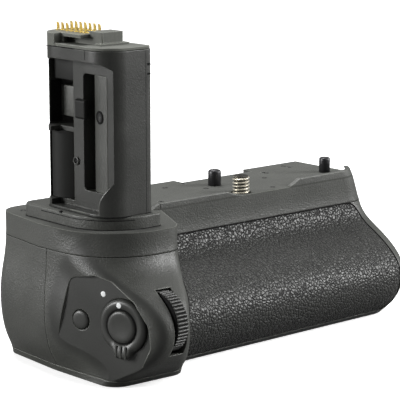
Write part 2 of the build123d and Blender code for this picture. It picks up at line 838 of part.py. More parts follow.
def facet_disc(radius, low, high, u=0, v=0, bore=0):
    """A disc or ring standing on the facet plane between two heights."""
    with BuildPart() as disc:
        with BuildSketch(facet_plane.offset(low)):
            with Locations((u, v)):
                Circle(radius)
                if bore:
                    Circle(bore, mode=Mode.SUBTRACT)
        extrude(amount=high - low)
    return disc.part


def make_end_controls():
    """Shutter button, its lock ring, the function button, and the switches behind them."""
    with BuildPart() as shutter_button:
        add(facet_disc(shutter_radius, -shutter_depth, shutter_height))
        fillet(shutter_button.faces().sort_by(Axis.X)[0].edges(), ring_bevel)
    save(shutter_button, "shutter_button")
    with BuildPart() as shutter_lock_ring:
        add(facet_disc(ring_radius, -ring_depth, ring_height))
        chamfer(shutter_lock_ring.faces().sort_by(Axis.X)[0].edges(), ring_bevel)
        with BuildSketch(facet_plane.offset(parting_gap)):
            with Locations((0, -ring_radius + ring_tab_width / 2 - ring_tab_length)):
                RectangleRounded(ring_tab_width, ring_tab_width, ring_tab_length)
        extrude(amount=ring_tab_height - parting_gap)
        add(facet_disc(shutter_radius + button_clearance, -far, far), mode=Mode.SUBTRACT)
    save(shutter_lock_ring, "shutter_lock_ring")
    with BuildPart() as function_button:
        add(facet_disc(function_radius, -function_depth, function_height, function_u, function_v))
        fillet(function_button.faces().sort_by(Axis.X)[0].edges(), function_height / 2)
    save(function_button, "function_button")
    switch_top = -shutter_depth - shutter_stroke - seat_clearance * 5
    board_top = switch_top - switch_height
    for name, u, v in (("shutter_switch", 0, 0), ("function_switch", function_u, function_v)):
        with BuildPart() as switch:
            with BuildSketch(facet_plane.offset(board_top)):
                with Locations((u, v)):
                    RectangleRounded(switch_side, switch_side, ring_depth)
            extrude(amount=switch_height)
        save(switch, name)
    with BuildPart() as control_board:
        with BuildSketch(facet_plane.offset(board_top - board_thickness)):
            with Locations((control_board_u, 0)):
                Rectangle(control_board_width, control_board_height)
        extrude(amount=board_thickness)
    save(control_board, "control_board")


def make_rear_controls():
    """Rear button with its switch and board, and the small joystick."""
    with BuildPart() as af_button:
        add(rod(af_radius, (af_x, back_y - af_depth, af_z), af_depth + af_height, (0, 1, 0)))
        fillet(af_button.faces().sort_by(Axis.Y)[-1].edges(), af_height / 3)
    save(af_button, "af_button")
    switch_top_y = back_y - af_depth - af_stroke - seat_clearance * 5
    board_y = switch_top_y - switch_height
    half = switch_side / 2
    with BuildPart() as af_switch:
        add(block((af_x - half, board_y, af_z - half), (af_x + half, switch_top_y, af_z + half)))
    save(af_switch, "af_switch")
    board_left_x = rear_dial_x + rear_dial_width / 2 + dial_gap + bracket_wall + seat_clearance
    with BuildPart() as rear_board:
        add(block(
            (board_left_x, board_y - board_thickness, af_z - rear_board_height / 2),
            (af_x + af_radius, board_y, af_z + rear_board_height / 2),
        ))
    save(rear_board, "rear_board")
    pivot_y = back_y - pivot_depth
    cap_low_y = back_y - stick_cap_low
    stem_low_y = pivot_y + gimbal_thickness / 2 + stick_gap
    with BuildPart() as joystick_cap:
        add(rod(stick_radius, (stick_x, cap_low_y, stick_z), stick_cap_height, (0, 1, 0)))
        fillet(joystick_cap.faces().sort_by(Axis.Y)[-1].edges(), stick_gap)
        add(rod(stick_stem_radius, (stick_x, stem_low_y, stick_z), cap_low_y - stem_low_y,
                (0, 1, 0)))
    save(joystick_cap, "joystick_cap")
    with BuildPart() as joystick_gimbal:
        add(rod(gimbal_radius, (stick_x, pivot_y - gimbal_thickness / 2, stick_z),
                gimbal_thickness, (0, 1, 0)))
    save(joystick_gimbal, "joystick_gimbal")
    base_top_y = pivot_y - gimbal_thickness / 2 - stick_gap
    half = stick_base_side / 2
    with BuildPart() as joystick_base:
        add(block(
            (stick_x - half, base_top_y - stick_base_height, stick_z - half),
            (stick_x + half, back_inner_y, stick_z + half),
        ))
        add(block((stick_x - half + bracket_wall, base_top_y, -far),
                  (stick_x + half - bracket_wall, far, far)), mode=Mode.SUBTRACT)
    save(joystick_base, "joystick_base")


def make_battery_bay():
    """Chamber liner, its contact bar, the sliding tray with its cover and latch, two batteries."""
    half = liner_length / 2
    with BuildPart() as chamber_liner:
        add(block((tray_centre_x - half, liner_front_y, liner_low_z),
                  (tray_centre_x + half, back_inner_y, liner_top_z)))
        add(block(
            (tray_centre_x - half + liner_wall, liner_front_y + liner_wall, liner_low_z + liner_wall),
            (tray_centre_x + half - liner_wall, far, liner_top_z - liner_wall),
        ), mode=Mode.SUBTRACT)
    save(chamber_liner, "chamber_liner")
    with BuildPart() as chamber_contacts:
        for side in (-1, 1):
            x = tray_centre_x + side * battery_length / 2
            for step in (-1, 0, 1):
                middle_x = x + step * strip_pitch
                add(block(
                    (middle_x - strip_width / 2, liner_front_y + liner_wall,
                     battery_low_z + strip_height),
                    (middle_x + strip_width / 2, tray_front_y - rest_gap / 2,
                     battery_low_z + 2 * strip_height),
                ))
    save(chamber_contacts, "chamber_contacts")
    half = tray_length / 2
    with BuildPart() as battery_tray:
        add(block((tray_centre_x - half, tray_front_y, tray_low_z),
                  (tray_centre_x + half, cover_inner_y, battery_top_z)))
        for side in (-1, 1):
            inner_x = tray_centre_x + side * tray_wall / 2
            outer_x = tray_centre_x + side * (half - tray_wall)
            add(block(
                (min(inner_x, outer_x), tray_front_y + tray_wall, tray_low_z + tray_floor),
                (max(inner_x, outer_x), far, far),
            ), mode=Mode.SUBTRACT)
            window_x = (inner_x + outer_x) / 2
            add(block(
                (window_x - contact_window_length / 2, -far, battery_low_z + tray_wall),
                (window_x + contact_window_length / 2, tray_front_y + tray_wall,
                 battery_low_z + contact_window_height),
            ), mode=Mode.SUBTRACT)
    save(battery_tray, "battery_tray")
    for name, side in (("battery_left", -1), ("battery_right", 1)):
        middle_x = tray_centre_x + side * (tray_wall / 2 + battery_gap + battery_length / 2)
        with BuildPart() as battery:
            add(block(
                (middle_x - battery_length / 2, cover_inner_y - battery_gap - battery_depth,
                 battery_low_z),
                (middle_x + battery_length / 2, cover_inner_y - battery_gap,
                 battery_low_z + battery_height),
            ))
            fillet(battery.edges().filter_by(Axis.Y), battery_radius)
        save(battery, name)
    with BuildPart() as tray_cover:
        add(cover_outline(0))
        add(rod(latch_radius + button_clearance, (latch_x, back_y - latch_knob_thickness, latch_z),
                far, (0, 1, 0)), mode=Mode.SUBTRACT)
        add(rod(latch_reach + button_clearance, (latch_x, -far, latch_z),
                far + cover_inner_y + latch_cam_thickness + seat_clearance, (0, 1, 0)),
            mode=Mode.SUBTRACT)
        add(rod(latch_grip_width, (latch_x, -far, latch_z), 2 * far, (0, 1, 0)),
            mode=Mode.SUBTRACT)
    save(tray_cover, "tray_cover")
    with BuildPart() as tray_latch:
        add(rod(latch_radius, (latch_x, back_y - latch_knob_thickness + seat_clearance, latch_z),
                latch_knob_thickness - seat_clearance, (0, 1, 0)))
        add(rod(latch_grip_width - running_clearance,
                (latch_x, cover_inner_y + seat_clearance, latch_z),
                cover_thickness - latch_knob_thickness, (0, 1, 0)))
        add(block(
            (latch_x - latch_cam_width / 2, cover_inner_y + seat_clearance, latch_z - latch_reach),
            (latch_x + latch_cam_width / 2, cover_inner_y + latch_cam_thickness, latch_z),
        ))
        for side in (-1, 1):
            add(rod(latch_radius - latch_grip_width / 2,
                    (latch_x, back_y - latch_knob_thickness / 2,
                     latch_z + side * (latch_radius + latch_grip_width / 2)), far, (0, 1, 0)),
                mode=Mode.SUBTRACT)
    save(tray_latch, "tray_latch")


def make_boards():
    """Main board on the battery chamber."""
    with BuildPart() as main_board:
        add(block(
            (main_board_x - main_board_length / 2, main_board_y - main_board_depth / 2, liner_top_z),
            (main_board_x + main_board_length / 2, main_board_y + main_board_depth / 2,
             liner_top_z + board_thickness),
        ))
    save(main_board, "main_board")


def tower_outline(inset=0):
    """Plan outline of the tower, drawn in from its own edge by an inset."""
    with BuildSketch() as outline:
        with BuildLine():
            FilletPolyline(
                (tower_left_x + inset, tower_front_y + inset),
                (tower_right_x - inset, tower_front_y + inset),
                (tower_right_x - inset, tower_back_y - inset),
                (tower_left_x + inset, tower_back_y - inset),
                radius=[tower_radius - inset, tower_edge_radius, tower_edge_radius,
                        tower_radius - inset],
                close=True,
            )
        make_face()
    return outline.sketch


def make_tower_flange():
    """Foot that carries the tower on the top face."""
    with BuildPart() as tower_flange:
        with BuildSketch(Plane.XY):
            with BuildLine():
                FilletPolyline(
                    (flange_left_x, flange_front_y), (flange_right_x, flange_front_y),
                    (flange_right_x, flange_back_y), (flange_left_x + cap_inset, flange_back_y),
                    radius=[flange_radius, tower_edge_radius, tower_edge_radius,
                            flange_back_radius],
                    close=True,
                )
            make_face()
        extrude(amount=flange_height)
        chamfer(tower_flange.faces().sort_by(Axis.Z)[-1].edges(), flange_edge)
    save(tower_flange, "tower_flange")


def make_tower_frame():
    """Hollow tower with its recess, slot and channels on the outer side."""
    recess_x = tower_left_x + pocket_depth
    with BuildPart() as tower_frame:
        with BuildSketch(Plane.XY.offset(flange_height)):
            add(tower_outline())
        extrude(amount=tower_top_z - flange_height)
        with BuildSketch(Plane.YZ.offset(recess_x)):
            with BuildLine():
                FilletPolyline(
                    (pocket_back_y, pocket_low_z), (pocket_back_y, pocket_high_z),
                    (pocket_front_y, pocket_high_z), (pocket_front_y, pocket_bend_z),
                    (pocket_foot_y, pocket_foot_z), (pocket_foot_y, pocket_low_z),
                    radius=[0, 0, pocket_top_radius, pocket_bend_radius, pocket_top_radius, 0],
                    close=True,
                )
            make_face()
        extrude(amount=-far, mode=Mode.SUBTRACT)
        with BuildSketch(Plane.YZ.offset(tower_left_x + slot_depth)):
            with Locations(((slot_back_y + slot_front_y) / 2, (slot_low_z + slot_high_z) / 2)):
                RectangleRounded(slot_back_y - slot_front_y, slot_high_z - slot_low_z, slot_radius)
        extrude(amount=-far, mode=Mode.SUBTRACT)
        for low, high in (
            (channel_low_z, shelf_z - shelf_height / 2), (shelf_z + shelf_height / 2, channel_high_z),
        ):
            with BuildSketch(Plane.XY.offset(low)):
                with BuildLine():
                    FilletPolyline(
                        (tower_left_x - overrun, channel_front_y),
                        (tower_left_x + channel_depth, channel_front_y),
                        (tower_left_x + channel_depth, channel_back_y),
                        (tower_left_x - overrun, channel_back_y),
                        radius=[0, channel_radius, channel_radius, 0],
                        close=True,
                    )
                make_face()
            extrude(amount=high - low, mode=Mode.SUBTRACT)
    save(tower_frame, "tower_frame")
    with BuildPart() as tower_peg:
        add(block(
            (recess_x - peg_rise, peg_y - peg_width / 2, peg_z - peg_height / 2),
            (recess_x - seat_clearance, peg_y + peg_width / 2, peg_z + peg_height / 2),
        ))
        fillet(tower_peg.faces().sort_by(Axis.X)[0].edges(), peg_radius)
    save(tower_peg, "tower_peg")


def make_tower_head():
    """Cap of the tower, the connector block on it and its rows of gold contacts."""
    with BuildPart() as tower_cap:
        with BuildSketch(Plane.XY.offset(tower_top_z + cap_gap)):
            add(tower_outline(cap_inset))
        extrude(amount=cap_base_height)
        with BuildSketch(Plane.XY.offset(tower_top_z + cap_gap)):
            add(tower_outline())
            with Locations((tower_left_x, cap_block_y)):
                Rectangle(roof_right_x - tower_left_x, tower_back_y - cap_block_y,
                          align=(Align.MIN, Align.MIN), mode=Mode.INTERSECT)
        extrude(amount=cap_top_z - tower_top_z - cap_gap)
        add(block((roof_left_x, roof_front_y, cap_top_z - roof_thickness),
                  (roof_right_x, cap_block_y, cap_top_z)))
    save(tower_cap, "tower_cap")
    block_low_z = tower_top_z + cap_gap + cap_base_height
    with BuildPart() as contact_block:
        add(block((connector_left_x, connector_front_y, block_low_z),
                  (connector_right_x, cap_block_y - seat_clearance,
                   cap_top_z - roof_thickness - seat_clearance)))
        add(block((connector_left_x, connector_front_y, block_low_z),
                  (connector_right_x, roof_front_y - seat_clearance, connector_top_z)))
        add(block((connector_left_x - connector_step, connector_front_y - connector_step, block_low_z),
                  (connector_right_x + connector_step, connector_front_y + connector_step,
                   block_low_z + connector_step / 2)))
    save(contact_block, "contact_block")
    with BuildPart() as contact_pins:
        for x in contact_rows_x:
            for index in range(contact_count):
                y = contact_first_y - index * contact_pitch
                add(block(
                    (x - contact_width / 2, y - contact_thickness / 2, cap_top_z + seat_clearance),
                    (x + contact_width / 2, y + contact_thickness / 2, cap_top_z + contact_rise),
                ))
    save(contact_pins, "contact_pins")


make_top_cover()
make_front_cover()
make_rear_shell()
make_base_plate()
make_front_rubber()
make_thumb_rubber()
make_tripod_socket()
make_fasteners()
make_screw_drive()
make_attachment_wheel()
make_locating_pins()
make_dials()
make_end_controls()
make_rear_controls()
make_battery_bay()
make_boards()
make_tower_flange()
make_tower_frame()
make_tower_head()
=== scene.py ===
from math import cos, hypot, pi, radians, sin

import bmesh
import bpy
from bpy.props import FloatProperty, FloatVectorProperty, IntProperty, PointerProperty
from mathutils import Matrix, Vector


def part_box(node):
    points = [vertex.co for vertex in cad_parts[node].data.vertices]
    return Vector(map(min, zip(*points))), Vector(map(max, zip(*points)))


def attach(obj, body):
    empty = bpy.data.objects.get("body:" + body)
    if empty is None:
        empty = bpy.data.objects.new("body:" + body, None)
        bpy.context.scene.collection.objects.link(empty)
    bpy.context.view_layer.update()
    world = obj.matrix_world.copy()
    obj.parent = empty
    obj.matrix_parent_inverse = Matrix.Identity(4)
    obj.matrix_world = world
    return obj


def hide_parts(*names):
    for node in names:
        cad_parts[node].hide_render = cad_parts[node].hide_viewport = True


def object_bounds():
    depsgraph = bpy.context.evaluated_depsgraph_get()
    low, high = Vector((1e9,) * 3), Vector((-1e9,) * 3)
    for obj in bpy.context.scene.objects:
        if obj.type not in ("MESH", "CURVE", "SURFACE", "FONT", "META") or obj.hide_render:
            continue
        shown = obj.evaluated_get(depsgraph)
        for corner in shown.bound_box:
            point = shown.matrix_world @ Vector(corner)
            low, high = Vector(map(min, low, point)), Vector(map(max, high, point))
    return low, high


bl_info = {
    "name": "Camera battery grip",
    "version": (1, 0, 0),
    "blender": (4, 5, 0),
    "location": "3D View > Sidebar > Grip",
    "description": "Dresses the battery grip with its detailed pieces and finishes",
    "category": "Add Mesh",
}

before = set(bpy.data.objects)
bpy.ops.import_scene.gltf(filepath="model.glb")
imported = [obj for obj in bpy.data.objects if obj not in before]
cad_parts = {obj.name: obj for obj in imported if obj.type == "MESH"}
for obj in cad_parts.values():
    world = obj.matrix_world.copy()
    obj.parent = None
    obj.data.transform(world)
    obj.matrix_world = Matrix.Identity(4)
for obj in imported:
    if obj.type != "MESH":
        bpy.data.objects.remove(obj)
CAD_BOX = [list(corner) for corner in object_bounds()]
MM = 0.001


def corners_of(node):
    """Lower and upper corner of a frame node's box, in millimetres."""
    return [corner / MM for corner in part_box(node)]


# Places and sizes that the pieces share, in millimetres

SCREW_FOOT, SCREW_RISE = (corner[2] for corner in corners_of("mounting_screw"))
SCREW_RADIUS = 3.175
SHANK_RADIUS = 3.35
THREAD_PITCH = 1.27
FACET_TURN = radians(16.0)
FACET_ORIGIN = Vector((-82.8, -32.9, -30.1))
FACET_NORMAL = Vector((-cos(FACET_TURN), -sin(FACET_TURN), 0.0))
FACET = Matrix.Translation(FACET_ORIGIN) @ Matrix((
    (sin(FACET_TURN), -cos(FACET_TURN), 0.0), (0.0, 0.0, 1.0), tuple(FACET_NORMAL),
)).transposed().to_4x4()
FACET_REACH = 34.0
FLANGE_TOP = 4.7
FLANGE_CENTRE, FLANGE_RADIUS = (-66.6, -7.0), 19.0
RECESS_SCREW, RECESS_AIM = (-78.75, -15.7, 37.8), (-0.985, 0.17, 0)
RIB_RADIUS = 0.5


# Looks of the moulded pieces: shades as shares of their colour (the first pair paints a
# highlight on edges), a roughness, and a cloud size

# painted highlight: how much lighter an edge is painted, and how strongly
EDGE_HIGHLIGHT, EDGE_HIGHLIGHT_SHARE = 4.5, 0.7
DEEP, PALE = 0.85, 1.15
FACET_SHADE = 0.52
DECK_ROUGHNESS = 0.95
CLOUD_MM = 14.0


# Objects and nodes


def add_object(name, data):
    """A new object in the scene."""
    thing = bpy.data.objects.new(name, data)
    bpy.context.scene.collection.objects.link(thing)
    return thing


def add_node(tree, kind, inputs=None, **settings):
    """Adds one node with its settings, and fills its inputs with values or with links."""
    node = tree.nodes.new(kind)
    for key, value in settings.items():
        setattr(node, key, value)
    for key, value in (inputs or {}).items():
        for one in value if isinstance(value, list) else [value]:
            source = one.socket if isinstance(one, Wire) else one
            if isinstance(source, bpy.types.NodeSocket):
                tree.links.new(source, node.inputs[key])
            else:
                node.inputs[key].default_value = source
    return node


class Wire:
    """One output of a finish's nodes, so that maths on it reads as plain arithmetic."""

    def __init__(self, finish, socket):
        self.finish = finish
        self.socket = socket

    def __add__(self, other):
        return self.finish.maths("ADD", self, other)

    def __radd__(self, other):
        return self.finish.maths("ADD", other, self)

    def __sub__(self, other):
        return self.finish.maths("SUBTRACT", self, other)

    def __rsub__(self, other):
        return self.finish.maths("SUBTRACT", other, self)

    def __mul__(self, other):
        return self.finish.maths("MULTIPLY", self, other)

    def __rmul__(self, other):
        return self.finish.maths("MULTIPLY", other, self)


class Finish:
    """A material of the grip and the nodes that give it its surface."""

    def __init__(self, name, colour, roughness, metallic=0.0, specular=0.5):
        self.material = bpy.data.materials.new(name)
        self.material.use_nodes = True
        self.material.diffuse_color = (*colour, 1.0)
        self.tree = self.material.node_tree
        self.shader = self.tree.nodes["Principled BSDF"]
        self.colour = colour
        for key, value in (("Base Color", (*colour, 1.0)), ("Roughness", roughness),
                           ("Metallic", metallic), ("Specular IOR Level", specular)):
            self.shader.inputs[key].default_value = value

    def node(self, kind, inputs=None, out=0, **settings):
        """Adds one node and gives back one of its outputs."""
        return Wire(self, add_node(self.tree, kind, inputs, **settings).outputs[out])

    def maths(self, operation, *values):
        """Maths on numbers."""
        return self.node("ShaderNodeMath", dict(enumerate(values)), operation=operation)

    def vector(self, operation, *values):
        """Maths on vectors, where a dot product and a length come out as numbers."""
        return self.node("ShaderNodeVectorMath", dict(enumerate(values)),
                         int(operation in ("DOT_PRODUCT", "LENGTH")), operation=operation)

    def place(self, stretch=(1.0, 1.0, 1.0)):
        """Object coordinates, in metres, stretched along the axes."""
        spot = self.node("ShaderNodeTexCoord", out="Object")
        return self.node("ShaderNodeMapping", {"Vector": spot, "Scale": stretch})

    def noise(self, size_mm, detail=3.0, place=None, rough=0.55):
        """Cloudy pattern with features of about a size in millimetres."""
        return self.node("ShaderNodeTexNoise", {
            "Vector": place or self.place(), "Scale": 1 / (size_mm * MM), "Detail": detail,
            "Roughness": rough,
        })

    def ramp(self, value, low, high, start=0.0, end=1.0):
        """Maps a stretch of a value onto another, with soft ends."""
        return self.node("ShaderNodeMapRange", {0: value, 1: low, 2: high, 3: start, 4: end},
                         interpolation_type="SMOOTHSTEP")

    def mixed(self, factor, first, second):
        """Two colours blended by a factor."""
        first, second = (colour if isinstance(colour, Wire) else (*colour, 1.0)
                         for colour in (first, second))
        return self.node("ShaderNodeMix", {0: factor, 6: first, 7: second}, 2,
                         data_type="RGBA")

    def tinted(self, factor, low=DEEP, high=PALE):
        """Two shades of the finish's own colour blended by a factor."""
        return self.mixed(factor, shade(self.colour, low), shade(self.colour, high))

    def feed(self, name, wire):
        """Gives the shader one of its values."""
        self.tree.links.new(wire.socket, self.shader.inputs[name])

    def softened(self, radius_mm):
        """Normal with the sharp edges rounded over."""
        return self.node("ShaderNodeBevel", {"Radius": radius_mm * MM}, samples=6)

    def raise_by(self, height, depth_mm, strength=1.0, under=None):
        """Bumps the surface by a height pattern of a depth in millimetres."""
        inputs = {"Height": height, "Distance": depth_mm * MM, "Strength": strength}
        if under:
            inputs["Normal"] = under
        self.feed("Normal", self.node("ShaderNodeBump", inputs))

    def rim(self, soft):
        """How much of an edge a spot lies on, from 0 on flats to 1 on an edge."""
        flat = self.node("ShaderNodeNewGeometry", out="Normal")
        return self.ramp(1 - self.vector("DOT_PRODUCT", flat, soft), 0.02, 0.2)

    def near_facet(self):
        """Mask of the smooth facet around the shutter button."""
        shift = self.vector("SUBTRACT", self.node("ShaderNodeTexCoord", out="Object"),
                            tuple(FACET_ORIGIN * MM))
        away = self.vector("DOT_PRODUCT", shift, tuple(FACET_NORMAL))
        flat = self.ramp(self.maths("ABSOLUTE", away), 1.5 * MM, 0.0)
        reach = self.vector("LENGTH", shift)
        return flat * self.ramp(reach, FACET_REACH * MM, (FACET_REACH - 4.0) * MM)

    def near_deck(self):
        """Mask of the flat top face and of the flange's top."""
        height = self.vector("DOT_PRODUCT", self.place(), (0, 0, 1))
        away = [self.maths("ABSOLUTE", height - level * MM) for level in (0, FLANGE_TOP)]
        return self.ramp(self.maths("MINIMUM", *away), 0.5 * MM, 0.2 * MM)


def shade(colour, share):
    """A colour made lighter or darker by a share."""
    return tuple(min(1.0, channel * share) for channel in colour)


def moulded_finish(name, colour, roughness, grain_mm, grain_depth_mm, specular=0.5,
                   edge_mm=0.5, facet=False):
    """Moulded plastic: fine eroded grain, cloudy colour, slightly uneven gloss and a painted
    highlight along its edges.
    """
    finish = Finish(name, colour, roughness, specular=specular)
    spot = finish.place()
    cloud = finish.noise(CLOUD_MM, 4.0, spot)
    speck = finish.noise(grain_mm * 1.7, 2.0, spot)
    tone = finish.ramp(cloud * 0.6 + speck * 0.4, 0.3, 0.7)
    soft = finish.softened(edge_mm)
    rim = finish.rim(soft)
    face = finish.tinted(tone)
    gloss = finish.ramp(cloud, 0.3, 0.7, roughness - 0.04, roughness + 0.05)
    grain = finish.noise(grain_mm, 2.5, spot, 0.65)
    if facet:
        smooth = finish.near_facet()
        face = finish.mixed(smooth, face, shade(colour, FACET_SHADE))
        grain = grain * (1 - smooth * 0.8)
        deck = finish.near_deck()
        gloss = gloss * (1 - deck) + deck * DECK_ROUGHNESS
    # painted highlight: spots on an edge, found by the softened normal, get a much lighter
    # colour
    finish.feed("Base Color", finish.mixed(rim * EDGE_HIGHLIGHT_SHARE, face, shade(colour, EDGE_HIGHLIGHT)))
    finish.feed("Roughness", gloss)
    finish.raise_by(grain, grain_depth_mm, under=soft)
    return finish.material


def pebbled_finish(name, colour, cell_mm, depth_mm):
    """Soft rubber with the creased pebbles of leather, its creases darkened with painted shade.
    """
    finish = Finish(name, colour, 0.5)
    spot = finish.place()
    drift = finish.node("ShaderNodeTexNoise", {
        "Vector": spot, "Scale": 1 / (cell_mm * 1.6 * MM), "Detail": 2.0}, out=1)
    moved = finish.vector("MULTIPLY_ADD", drift, (cell_mm * MM * 0.9,) * 3, spot)
    crease = finish.node("ShaderNodeTexVoronoi", {
        "Vector": moved, "Scale": 1 / (cell_mm * MM)}, feature="DISTANCE_TO_EDGE")
    pebble = finish.ramp(crease, 0.01, 0.15)
    fine = finish.noise(cell_mm * 0.25, 2.0, spot)
    patch = finish.noise(cell_mm * 5, 2.0, spot)
    height = pebble * 0.85 + finish.ramp(crease, 0.1, 0.5) * 0.3 + fine * 0.1
    face = finish.tinted(patch)
    # painted shade: the creases between the pebbles get a near-black share of the colour
    finish.feed("Base Color", finish.mixed(pebble, shade(colour, 0.08), face))
    finish.feed("Roughness", finish.ramp(pebble, 0.0, 1.0, 0.8, 0.43))
    finish.raise_by(height, depth_mm)
    return finish.material


def turned_finish(name, colour, roughness, metallic=1.0, stretch=(1.0, 1.0, 12.0)):
    """Turned or drawn metal with fine tool lines and slightly uneven polish."""
    finish = Finish(name, colour, roughness, metallic)
    lines = finish.noise(0.9, 4.0, finish.place(stretch))
    cloud = finish.noise(3.0, 3.0)
    finish.feed("Base Color", finish.tinted(cloud, 0.82, 1.1))
    finish.feed("Roughness", finish.ramp(lines, 0.3, 0.7, roughness - 0.08, roughness + 0.12))
    finish.raise_by(lines, 0.01, 0.6)
    return finish.material


def thread_finish(name, colour, root_mm, crest_mm):
    """Plated thread, the metal's colour on its crests and painted shade darkening its roots."""
    finish = Finish(name, colour, 0.3, 0.65)
    spot = finish.place()
    reach = finish.vector("LENGTH", finish.vector("MULTIPLY", spot, (1.0, 1.0, 0.0)))
    crest = finish.ramp(reach, root_mm * MM, crest_mm * MM)
    worn = finish.noise(0.6, 3.0, spot)
    metal = finish.tinted(worn, 0.8)
    # painted shade: spots inside the crest radius, in the roots, are near-black
    finish.feed("Base Color", finish.mixed(crest, shade(colour, 0.06), metal))
    finish.feed("Roughness", finish.ramp(worn, 0.3, 0.7, 0.24, 0.38))
    finish.raise_by(worn, 0.01)
    return finish.material


def painted_dot_finish(name, colour):
    """Filled paint of an index dot, with a slightly grainy face."""
    finish = Finish(name, colour, 0.55)
    grain = finish.noise(0.35, 2.0)
    finish.feed("Base Color", finish.tinted(grain, 0.8, 1.05))
    finish.raise_by(grain, 0.03)
    return finish.material


def gap_finish(name):
    """Painted shade: near-black for the bottom of a seam or a notch, where little light comes.
    """
    finish = Finish(name, (0.003,) * 3, 0.8, specular=0.15)
    shade_speckle = finish.noise(0.6, 2.0)
    finish.feed("Base Color", finish.mixed(shade_speckle, (0.002,) * 3, (0.005,) * 3))
    return finish.material


def board_finish(name, colour):
    """Circuit board with solder mask over fine copper runs."""
    finish = Finish(name, colour, 0.4)
    spot = finish.place()
    runs = finish.node("ShaderNodeTexBrick", {
        "Vector": spot, "Scale": 1 / (6.0 * MM), "Mortar Size": 0.04,
        "Color1": (*shade(colour, 1.2), 1.0), "Color2": (*colour, 1.0),
        "Mortar": (*shade(colour, 2.2), 1.0)})
    finish.feed("Base Color", runs)
    finish.raise_by(finish.noise(0.8, 2.0, spot), 0.02)
    return finish.material


FINISHES = {}


def make_finishes(colours):
    """Fills FINISHES; each row has a key and what the maker of that finish asks for."""
    casing = tuple(colours.casing)
    for key, *look in (
        ("casing", casing, 0.44, 0.6, 0.17, 0.5, 0.6, True),
        ("tower", tuple(colours.tower), 0.36, 0.6, 0.07),
        # painted light: a lighter copy of the casing plastic for the tower's cap and the faces
        # beside it
        ("cap", shade(casing, 2.2), 0.6, 0.5, 0.04, 0.2, 0.4),
        # painted shade: a near-black copy of the plastic for the tower's peg, channel wall and
        # pocket end
        ("recess", (0.0062, 0.0065, 0.0056), 0.55, 0.6, 0.03, 0.2),
        ("inner", shade(casing, 0.32), 0.6, 0.6, 0.03),
        ("control", shade(casing, 0.62), 0.42, 0.3, 0.02),
        ("dial", shade(casing, 0.5), 0.36, 0.5, 0.02),
        ("button", shade(casing, 0.55), 0.42, 0.28, 0.022),
        ("battery", (0.05, 0.05, 0.055), 0.8, 0.4, 0.03, 0.1),
        ("switch", (0.02, 0.02, 0.02), 0.45, 0.4, 0.02),
    ):
        FINISHES[key] = moulded_finish(key + "_plastic", *look)
    for key, name, *look in (
        ("steel", "turned_steel", (0.66, 0.62, 0.52), 0.26),
        ("plate_steel", "plate_steel", (0.5, 0.5, 0.5), 0.4, 1, (1, 10, 1)),
        ("dark_metal", "blackened_metal", (0.04, 0.04, 0.042), 0.34, 0.75),
        ("gold", "gold_plate", (0.72, 0.52, 0.13), 0.26, 0.85),
        ("brass", "gear_brass", (0.68, 0.5, 0.22), 0.32),
    ):
        FINISHES[key] = turned_finish(name, *look)
    FINISHES.update({
        "rubber": pebbled_finish("pebbled_rubber", tuple(colours.rubber), 1.28, 0.32),
        "thread": thread_finish("plated_thread", (0.72, 0.68, 0.57), 2.65, 3),
        "dot": painted_dot_finish("index_paint", tuple(colours.dot)),
        "board": board_finish("circuit_board", (0.015, 0.09, 0.04)),
        "gap": gap_finish("seam_gap"),
    })


NODE_FINISHES = {
    "casing": ("top_cover", "front_cover", "rear_shell", "base_plate", "tower_flange",
               "tray_cover"),
    "tower": ("tower_frame",),
    "recess": ("tower_peg",),
    "cap": ("tower_cap", "contact_block"),
    "rubber": ("front_grip_rubber", "thumb_rest_rubber"),
    "inner": ("chamber_liner", "battery_tray"),
    "control": ("attachment_wheel", "shutter_lock_ring", "tray_latch"),
    "button": ("shutter_button", "function_button", "af_button", "joystick_cap"),
    "dial": ("front_dial", "rear_dial"),
    "steel": ("mounting_screw", "tripod_socket", "front_dial_axle", "rear_dial_axle",
              "idler_pin", "wheel_axle"),
    "plate_steel": ("gear_plate", "rear_dial_bracket"),
    "dark_metal": ("locating_pin_left", "locating_pin_right", "screw_bush", "plate_screws",
                   "base_screws"),
    "gold": ("contact_pins", "chamber_contacts"),
    "brass": ("screw_gear", "idler_gear", "wheel_gear"),
    "board": ("main_board", "control_board", "rear_board"),
    "battery": ("battery_left", "battery_right"),
    "switch": ("shutter_switch", "function_switch", "af_switch", "joystick_gimbal",
               "joystick_base"),
}


# Mesh building, all in millimetres until the piece is finished


def settle(name, mesh, body, replaces=(), place=None, angle=35.0):
    """Puts a finished mesh in place as a piece that rides on a body."""
    if place:
        moved = place.copy()
        moved.translation = place.translation * MM
        mesh.transform(moved)
    piece = add_object(name, mesh)
    mesh.polygons.foreach_set("use_smooth", [True] * len(mesh.polygons))
    mesh.set_sharp_from_angle(angle=radians(angle))
    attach(piece, body)
    if replaces:
        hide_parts(*replaces)


def circle(radius, height, count=48):
    """A level ring of points around the Z axis; its radius may be a function of the angle."""
    ring = []
    for index in range(count):
        angle = 2 * pi * index / count
        span = radius(angle) if callable(radius) else radius
        ring.append((span * cos(angle), span * sin(angle), height))
    return ring


def thread_rings(low, high, first, steps, count, span_at):
    """Rings of a thread between two heights; span_at gives the radius at a spot."""
    rings = []
    for step in range(first, steps + 1):
        height = low + (high - low) * step / steps

        def span(angle):
            phase = (height / THREAD_PITCH - angle / (2 * pi)) % 1.0
            crest = max(0, min(1, (0.5 - abs(phase - 0.5)) * 2.6 - 0.12))
            return span_at(crest, height)

        rings.append(circle(span, height, count))
    return rings


